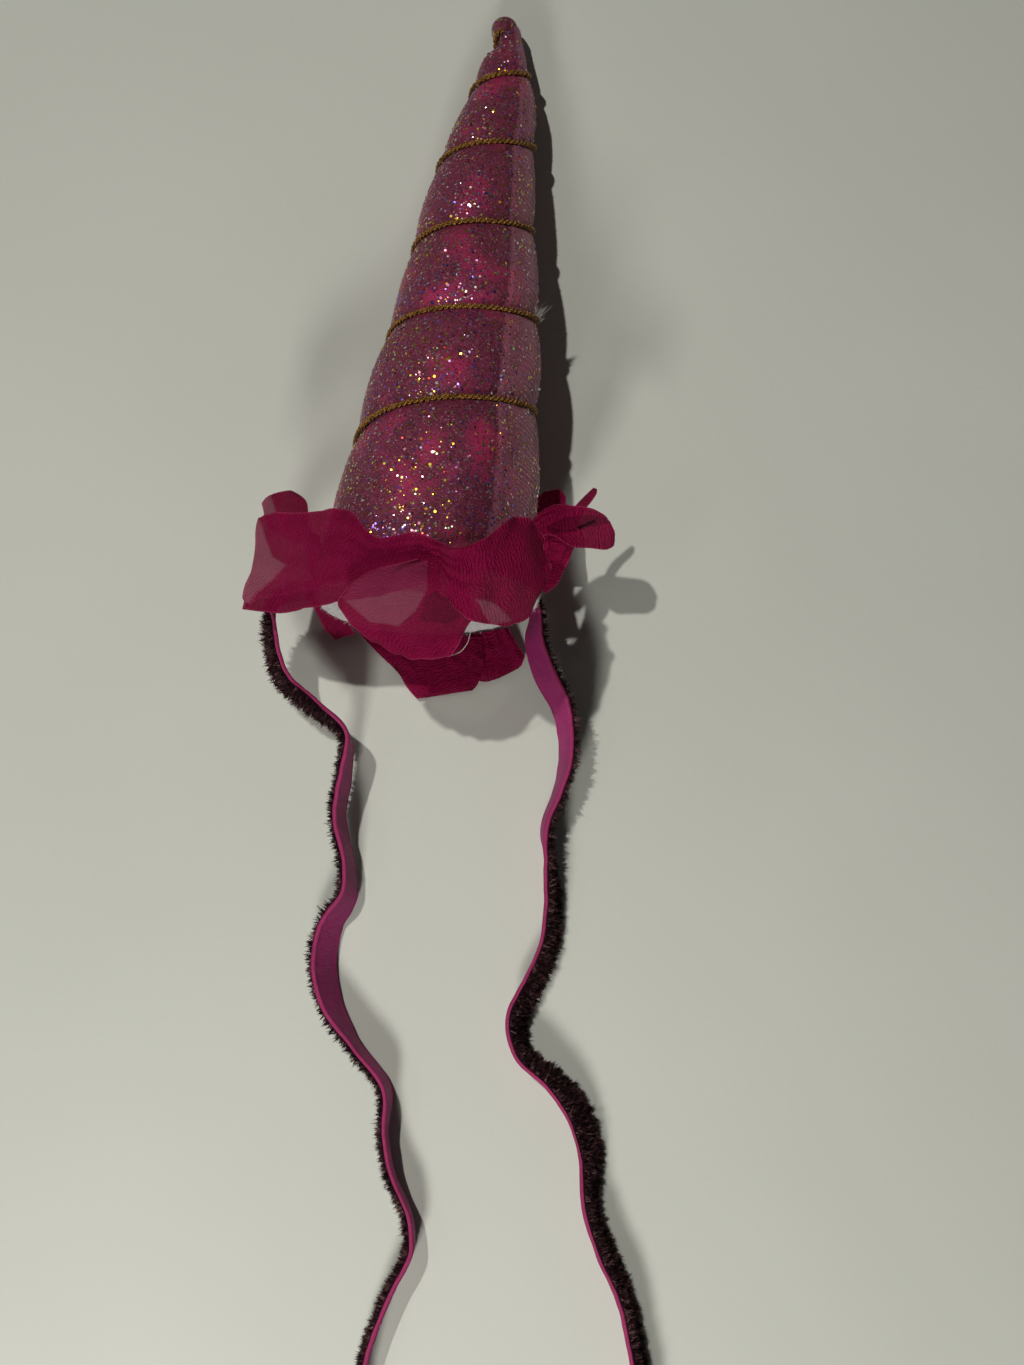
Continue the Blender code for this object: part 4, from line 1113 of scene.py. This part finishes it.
# The petals whose outline shows from above: places of their two edges in millimetres (side, back, height),
# from the root to the free end, and the cup, which is how far the middle sinks as a share of the half width.
EDGES = {
    "petal_left_front": [
        (5.4, -0.2, 54.6, 5.8, 7.2, 54.4, -0.05),
        (-3.0, -2.2, 53.8, -2.6, 10.2, 54.0, -0.06),
        (-11.0, -3.6, 51.0, -10.6, 9.6, 51.8, -0.10),
        (-19.3, -4.0, 47.6, -17.2, 16.4, 48.6, -0.12),
        (-27.0, -5.0, 43.2, -27.0, 17.0, 43.2, 0.02),
        (-34.0, -5.2, 38.4, -35.4, 18.0, 37.4, 0.10),
        (-42.4, -3.4, 33.4, -38.0, 17.3, 35.6, 0.10),
    ],
    "petal_top": [
        (-1.4, 3.6, 55.4, 6.4, 2.6, 55.4, -0.05),
        (-10.2, 1.7, 56.1, 8.8, -1.4, 55.6, -0.10),
        (-15.9, -2.2, 56.0, 10.6, -5.0, 54.6, -0.14),
        (-18.6, -6.4, 55.4, 11.2, -8.3, 53.0, -0.16),
        (-14.1, -12.4, 51.6, 9.9, -10.6, 50.4, -0.15),
        (-6.5, -15.9, 47.0, 7.8, -13.6, 47.4, -0.12),
        (-3.0, -17.0, 46.0, 5.8, -16.4, 45.8, -0.05),
    ],
    "petal_right_front": [
        (3.7, 0.2, 56.4, 3.7, 6.9, 56.2, -0.05),
        (5.2, -5.2, 58.2, 8.0, 5.9, 58.8, -0.10),
        (9.4, -9.5, 57.8, 13.8, 7.9, 59.0, -0.10),
        (15.6, -10.9, 57.2, 20.2, 13.6, 54.6, -0.10),
        (20.4, -10.4, 54.6, 24.9, 13.2, 51.0, -0.15),
        (25.0, -6.0, 50.6, 27.3, 8.3, 47.6, -0.15),
        (26.8, 0.4, 48.2, 27.4, 4.4, 47.2, -0.05),
    ],
    "petal_right_tongue": [
        (23.0, 11.0, 36.2, 22.8, 15.0, 36.8, 0.00),
        (25.5, 12.8, 36.0, 25.0, 17.8, 36.8, 0.03),
        (28.4, 13.3, 35.8, 28.1, 20.0, 36.8, 0.05),
        (33.0, 10.8, 35.2, 33.7, 20.0, 36.8, 0.10),
        (37.3, 10.5, 34.8, 38.7, 19.1, 36.2, 0.10),
        (41.7, 10.5, 34.0, 41.7, 16.9, 35.4, 0.05),
        (42.9, 11.3, 33.9, 42.4, 15.4, 34.9, 0.00),
        (43.2, 12.4, 33.9, 43.0, 14.0, 34.4, 0.00),
    ],
    "petal_right_spike": [
        (31.2, 15.4, 28.6, 33.2, 14.6, 28.6, 0.10),
        (34.0, 21.5, 29.5, 36.6, 21.0, 29.5, 0.20),
        (36.0, 23.6, 30.0, 38.3, 23.1, 30.0, 0.20),
        (37.9, 25.4, 30.3, 39.1, 24.4, 30.3, 0.10),
        (38.4, 25.8, 30.4, 39.2, 25.4, 30.4, 0.00),
    ],
    "petal_right_back": [
        (25.6, 12.4, 17.4, 32.2, 12.4, 17.0, 0.00),
        (25.2, 22.8, 13.4, 32.4, 25.4, 13.0, 0.10),
        (25.7, 28.0, 11.4, 32.0, 28.8, 11.2, 0.10),
        (27.2, 29.7, 11.0, 31.0, 29.9, 10.8, 0.00),
    ],
    "petal_right_side": [
        (26.4, 14.2, 34.0, 33.8, 13.8, 33.2, 0.00),
        (26.6, 11.6, 33.2, 34.0, 11.8, 31.2, 0.04),
        (26.3, 8.0, 31.6, 32.0, 7.6, 29.0, 0.08),
        (26.1, 4.4, 28.8, 29.3, 3.2, 26.4, 0.08),
        (26.0, 2.6, 27.2, 27.4, 1.6, 25.8, 0.00),
    ],
    "petal_bottom_left": [
        (-19.2, -2.2, 1.7, 12.0, -4.6, 2.1, 0.00),
        (-13.2, -8.6, 0.9, 12.6, -9.2, 1.9, 0.00),
        (-7.9, -13.9, 0.8, 12.0, -13.6, 1.7, 0.00),
        (-5.9, -17.3, 0.8, 11.0, -16.4, 1.3, 0.00),
        (-3.6, -19.8, 0.8, 9.8, -17.7, 0.9, 0.00),
    ],
    "petal_bottom_right": [
        (8.6, -4.0, 1.2, 18.6, -2.6, 3.0, 0.00),
        (9.4, -9.6, 1.0, 20.8, -6.6, 2.2, 0.00),
        (10.2, -15.0, 1.0, 22.4, -10.2, 1.4, 0.00),
        (13.2, -15.6, 1.0, 21.4, -12.0, 1.3, 0.00),
        (16.3, -14.7, 1.0, 19.4, -13.2, 1.2, 0.00),
    ],
    "petal_low_left": [
        (-27.8, 0.7, 20.4, -25.6, 0.4, 20.8, 0.00),
        (-26.8, -1.6, 15.0, -23.4, -0.2, 16.0, 0.00),
        (-25.4, -4.2, 9.0, -20.4, -2.0, 10.0, 0.00),
        (-23.4, -6.0, 4.6, -18.6, -4.2, 5.0, 0.00),
    ],
}


def inside(x, y, corners, soft):
    """1 inside the corners (counted either way round) and 0 outside, with an edge as soft as given."""
    corners = np.array(corners)
    nearest = np.full(np.shape(x), 1e9)
    crossings = np.zeros(np.shape(x), int)
    for n in range(len(corners)):
        (ax, ay), (bx, by) = corners[n - 1], corners[n]
        share = ((x - ax) * (bx - ax) + (y - ay) * (by - ay)) / ((bx - ax) ** 2 + (by - ay) ** 2)
        share = np.clip(share, 0, 1)
        nearest = np.minimum(nearest, np.hypot(x - ax - share * (bx - ax), y - ay - share * (by - ay)))
        if ay != by:
            crossings += ((y < ay) != (y < by)) & (x < ax + (y - ay) * (bx - ax) / (by - ay))
    signed = np.where(crossings % 2 == 1, nearest, -nearest)
    return np.clip(0.5 + signed / soft, 0, 1)


def back_ribs():
    """Ribs of petal_left_back in metres and degrees: its seat on the horn first, then its rows."""
    ribs = np.array(BACK_RIBS, float)
    ribs[:, :4] *= FLOWER_RADIUS
    ribs[:, 2] += BASE_HEIGHT
    turns, angle, half, heading, tilt, stand_off = BACK_ROOT
    half *= FLOWER_RADIUS
    lift = PETAL_GAP + stand_off * half
    turns, angle = np.array([turns]), np.array([angle])
    length = spiral_length(turns, angle)
    spine, right, up = horn_frame(length)
    out = np.sin(2 * np.pi * angle)[:, None] * right + np.cos(2 * np.pi * angle)[:, None] * up
    height = groove_radius(length) + puff_height(turns, angle, length)[0] + lift
    seat = (spine + height[:, None] * out)[0]
    return np.vstack([[*seat, half, heading, tilt, 0.0], ribs])


def petal_middle(name, u, v):
    """A petal's smooth surface and its half width, over shares from root to end and from edge to edge.

    A petal with rows of edges is spanned between them, sunk or raised in the middle by its cup. The one
    without, petal_left_back, is spread both ways from its line of ribs and rounded off at its free end.
    """
    if name in EDGES:
        rows = np.array(EDGES[name]) * np.array([0.001] * 6 + [1.0])
        line = 0.5 * (rows[:, :3] + rows[:, 3:6])
        knots = np.r_[0, np.cumsum(np.maximum(np.linalg.norm(np.diff(line, axis=0), axis=1), 0.0015))]
        now = smooth(u * knots[-1], knots, rows)
        low, high, cup = now[:, :3], now[:, 3:6], now[:, 6]
        centre, across = 0.5 * (low + high), unit(high - low)
        half = 0.5 * np.linalg.norm(high - low, axis=1)
    else:
        ribs = back_ribs()
        knots = np.r_[0, np.cumsum(np.linalg.norm(np.diff(ribs[:, :3], axis=0), axis=1))]
        centre = smooth(u * knots[-1], knots, ribs[:, :3])
        half, heading, tilt, cup = smooth(u * knots[-1], knots, ribs[:, 3:]).T
        round_off = np.clip((u - 0.6) / 0.4, 0, 1)
        half = half * np.sqrt(1 - (1 - BACK_END**2) * round_off**2)
        heading, tilt = np.radians(heading), np.radians(tilt)
        across = [np.cos(heading) * np.cos(tilt), np.sin(heading) * np.cos(tilt), np.sin(tilt)]
        across = np.stack(across, -1)
    normal = unit(np.cross(np.gradient(centre, axis=0), across))
    normal *= 1 if normal[len(u) // 2, 2] > 0 else -1
    spread = (half[:, None] * v[None, :])[..., None] * across[:, None, :]
    dish = ((cup * half)[:, None] * (v**2 - 1 / 3)[None, :])[..., None] * normal[:, None, :]
    return centre[:, None, :] + spread + dish, normal, half, knots[-1]


def build_petal(name, number):
    """A petal: its smooth surface with gathers fanning out of the root, a rippling edge, buckles and folds."""
    rows, columns = 101, 81
    u, v = np.linspace(0, 1, rows), np.linspace(-1, 1, columns)
    middle, normal, half, size = petal_middle(name, u, v)
    wide = half.max()
    x, y = np.broadcast_arrays(u[:, None] * size, v[None, :] * half[:, None])
    fan = v[None, :] + 0 * x
    gathers = waves(fan * 0.010, x * 0.10, 9, 0.0022, 0.0070, 60 + number)
    gathers = gathers * np.exp(-u[:, None] / 0.40) * 0.00042
    buckles = waves(x, y, 12, 0.0045, 0.014, 80 + number) * 0.00030 * np.clip(u[:, None] * 4, 0.1, 1)
    crinkle = waves(x, y * 0.35, 16, 0.0011, 0.0026, 90 + number) * 0.000035
    edge = np.maximum(np.abs(v[None, :]), np.clip((u[:, None] - 0.8) / 0.2, 0, 1)) ** 5
    ripple = waves(x, y, 8, 0.0040, 0.0090, 100 + number) * edge * 0.00050
    folds = np.zeros(x.shape)
    tint = np.zeros((rows, columns, 3))
    plan = middle[..., :2] * 1000
    for kind, soft, corners in FOLDS.get(name, []):
        held = inside(plan[..., 0], plan[..., 1], corners, soft)
        if kind == "light":
            # Single cloth, painted lighter, partly as light from the table showing through.
            tint[..., 1] = np.maximum(tint[..., 1], held)
            folds += 0.00025 * held
        elif kind == "grey":
            tint[..., 2] = np.maximum(tint[..., 2], 0.7 * held)
            folds += 0.00035 * held
        elif kind == "dark":
            # Painted shade inside the tongue's curl.
            tint[..., 2] = np.maximum(tint[..., 2], 0.85 * held)
            folds -= 0.00060 * held
        elif kind == "slit":
            # Painted shade in the slit between the tongue's lips.
            tint[..., 2] = np.maximum(tint[..., 2], held)
            folds -= 0.00160 * held
        else:
            # Painted shade in a deep fold.
            tint[..., 2] = np.maximum(tint[..., 2], 0.35 * held)
            folds -= 0.00070 * held
    small = np.clip(wide / 0.006, 0.3, 1.0)
    lift = small * (gathers + buckles + ripple) + crinkle + folds
    if "bottom" in name:
        lift = np.clip(lift, -0.00015, 0.0009)
    middle = middle + lift[..., None] * normal[:, None, :]
    from_edge = np.minimum((1 - np.abs(v[None, :])) * half[:, None], (1 - u[:, None]) * size + 0 * y)
    tint[..., 0] = np.clip(1 - from_edge / 0.00035, 0, 1)
    if name == "petal_bottom_left":
        tint[..., 0] *= v[None, :] < 0.9
    uv = np.stack(np.broadcast_arrays(x, y), -1)
    faces = grid_faces(rows, columns)
    piece = add_mesh(name + "_cloth", middle, faces, chiffon, uv.reshape(-1, 2), tint.reshape(-1, 3))
    sides_a = np.linalg.norm(np.diff(middle, axis=0), axis=2).sum(axis=0).max()
    sides_b = np.linalg.norm(np.diff(middle, axis=1), axis=2).sum(axis=1).max()
    area = sum(polygon.area for polygon in piece.data.polygons)
    cut = (max(float(sides_b), 0.0101), max(float(sides_a), 0.0101))
    return piece, cut, float(np.clip(area, 0.31 * cut[0] * cut[1], cut[0] * cut[1]))


def build_tuft():
    """Pale frayed end of the net that sticks out of the groove on the right: fibres drawn to three points."""
    own = np.random.default_rng(71)
    count = 330
    angle = np.full(count, 0.222) + 0.010 * own.normal(size=count)
    length = 0.0668 + 0.0007 * own.normal(size=count)
    roots, out, _ = horn_surface(length, angle)
    start = horn_surface(np.array([0.0668]), np.array([0.222]))[0][0]
    lock = own.integers(0, 3, count)
    points = np.array([[0.0029, 0.0030, 0.0016], [0.0022, 0.0012, 0.0004], [0.0007, 0.0030, 0.0018]])
    ways = start + points[lock] - roots + 0.00035 * own.normal(size=(count, 3))
    reach = np.linalg.norm(ways, axis=1)[:, None] * (0.55 + 0.45 * own.random((count, 1)))
    return build_fuzz("frayed_tuft", roots - 0.0003 * out, ways, reach, 0.00012, 0.10, 72, thread)


def build_strand(name, points, radius, material):
    """A single thread: a five-sided tube through a few points in millimetres."""
    points = np.array(points) / 1000
    knots = np.r_[0, np.cumsum(np.linalg.norm(np.diff(points, axis=0), axis=1))]
    centres = smooth(np.linspace(0, knots[-1], 60), knots, points)
    _, side, out = frames_along(centres, np.tile([0.2, 0.3, 1.0], (60, 1)))
    made, faces, uv = sweep(name, centres, side, out, radius, radius, 5, material)
    return add_mesh(name, made, faces, material, uv, np.full((len(made), 3), (0.35, 0.08, 0.14)))


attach(horn := build_horn(), "root")
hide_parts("horn")
large_dots = build_foil("foil_dots_large", 10500, 0.00028, 11, 0.00012)
small_dots = build_foil("foil_dots_small", 14000, 0.00015, 12, 0.00010)
for dots in (large_dots, small_dots):
    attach(dots, "root")
cord = build_cord()
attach(cord, "root")
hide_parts("gold_cord")

disc = build_disc()
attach(disc, "root")
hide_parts("base_disc")
fuzz = build_felt_fuzz()
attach(fuzz, "root")

band = band_frames(1600)
strap = build_web(band)
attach(strap, "root")
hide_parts("elastic_band")
for plush in (strap, build_pile_bed(band), build_pile(band)):
    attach(plush, "root")

for number, petal_name in enumerate(PETALS):
    petal, flat_size, flat_area = build_petal(petal_name, number)
    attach(petal, "root")
    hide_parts(petal_name)

tuft = build_tuft()
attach(tuft, "root")
loose = [(10.3, -11.4, 49.6), (9.4, -13.6, 46.4), (8.0, -15.0, 45.0), (5.6, -16.1, 45.6)]
loose_thread = build_strand("loose_thread", loose, 0.00008, thread)
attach(loose_thread, "root")

# Light, table and camera.
floor = add_mesh(
    "table",
    [(-1.5, -1.5, 0), (1.5, -1.5, 0), (1.5, 1.5, 0), (-1.5, 1.5, 0)],
    [(0, 1, 2, 3)],
    table,
    moved=False,
)

aim = np.array([0.0151, 0.0168, 0.0])


def look(thing, spot, target):
    """Stand a camera or lamp at spot, facing target, with its top towards +Y."""
    thing.location = spot
    thing.rotation_euler = Vector(np.asarray(target) - np.asarray(spot)).to_track_quat("-Z", "Y").to_euler()


camera = bpy.data.objects.new("camera", bpy.data.cameras.new("camera"))
bpy.context.scene.collection.objects.link(camera)
camera.data.sensor_fit = "VERTICAL"
camera.data.sensor_height = 36.0
camera.data.lens = 2050 / 1365 * 36
camera.data.clip_start = 0.01
raised = math.radians(82)
look(camera, aim + 0.5 * np.array([0, -math.cos(raised), math.sin(raised)]), aim)
bpy.context.scene.camera = camera


def add_lamp(name, spot, size, power, colour=(1.0, 1.0, 1.0)):
    """A square soft lamp that faces the horn's base."""
    lamp = bpy.data.lights.new(name, "AREA")
    lamp.size = size
    lamp.energy = power
    lamp.color = colour
    thing = bpy.data.objects.new(name, lamp)
    bpy.context.scene.collection.objects.link(thing)
    look(thing, spot, aim)
    return thing


towards = np.array([-0.32, 0.27, 1.0])
add_lamp("key", aim + 1.3 * towards, 0.03, 9.4, (1.0, 0.985, 0.945))
add_lamp("low_left", aim + np.array([-0.12, -0.42, 0.32]), 0.08, 1.50, (1.0, 0.985, 0.96))
add_lamp("second", aim + np.array([-1.1, -0.6, 1.5]), 0.25, 1.0, (0.95, 0.97, 1.0))

world = bpy.data.worlds.new("room")
bpy.context.scene.world = world
world.use_nodes = True
world.node_tree.nodes["Background"].inputs["Color"].default_value = (0.95, 0.93, 0.95, 1.0)
world.node_tree.nodes["Background"].inputs["Strength"].default_value = 0.045
bpy.context.scene.view_settings.view_transform = "Standard"
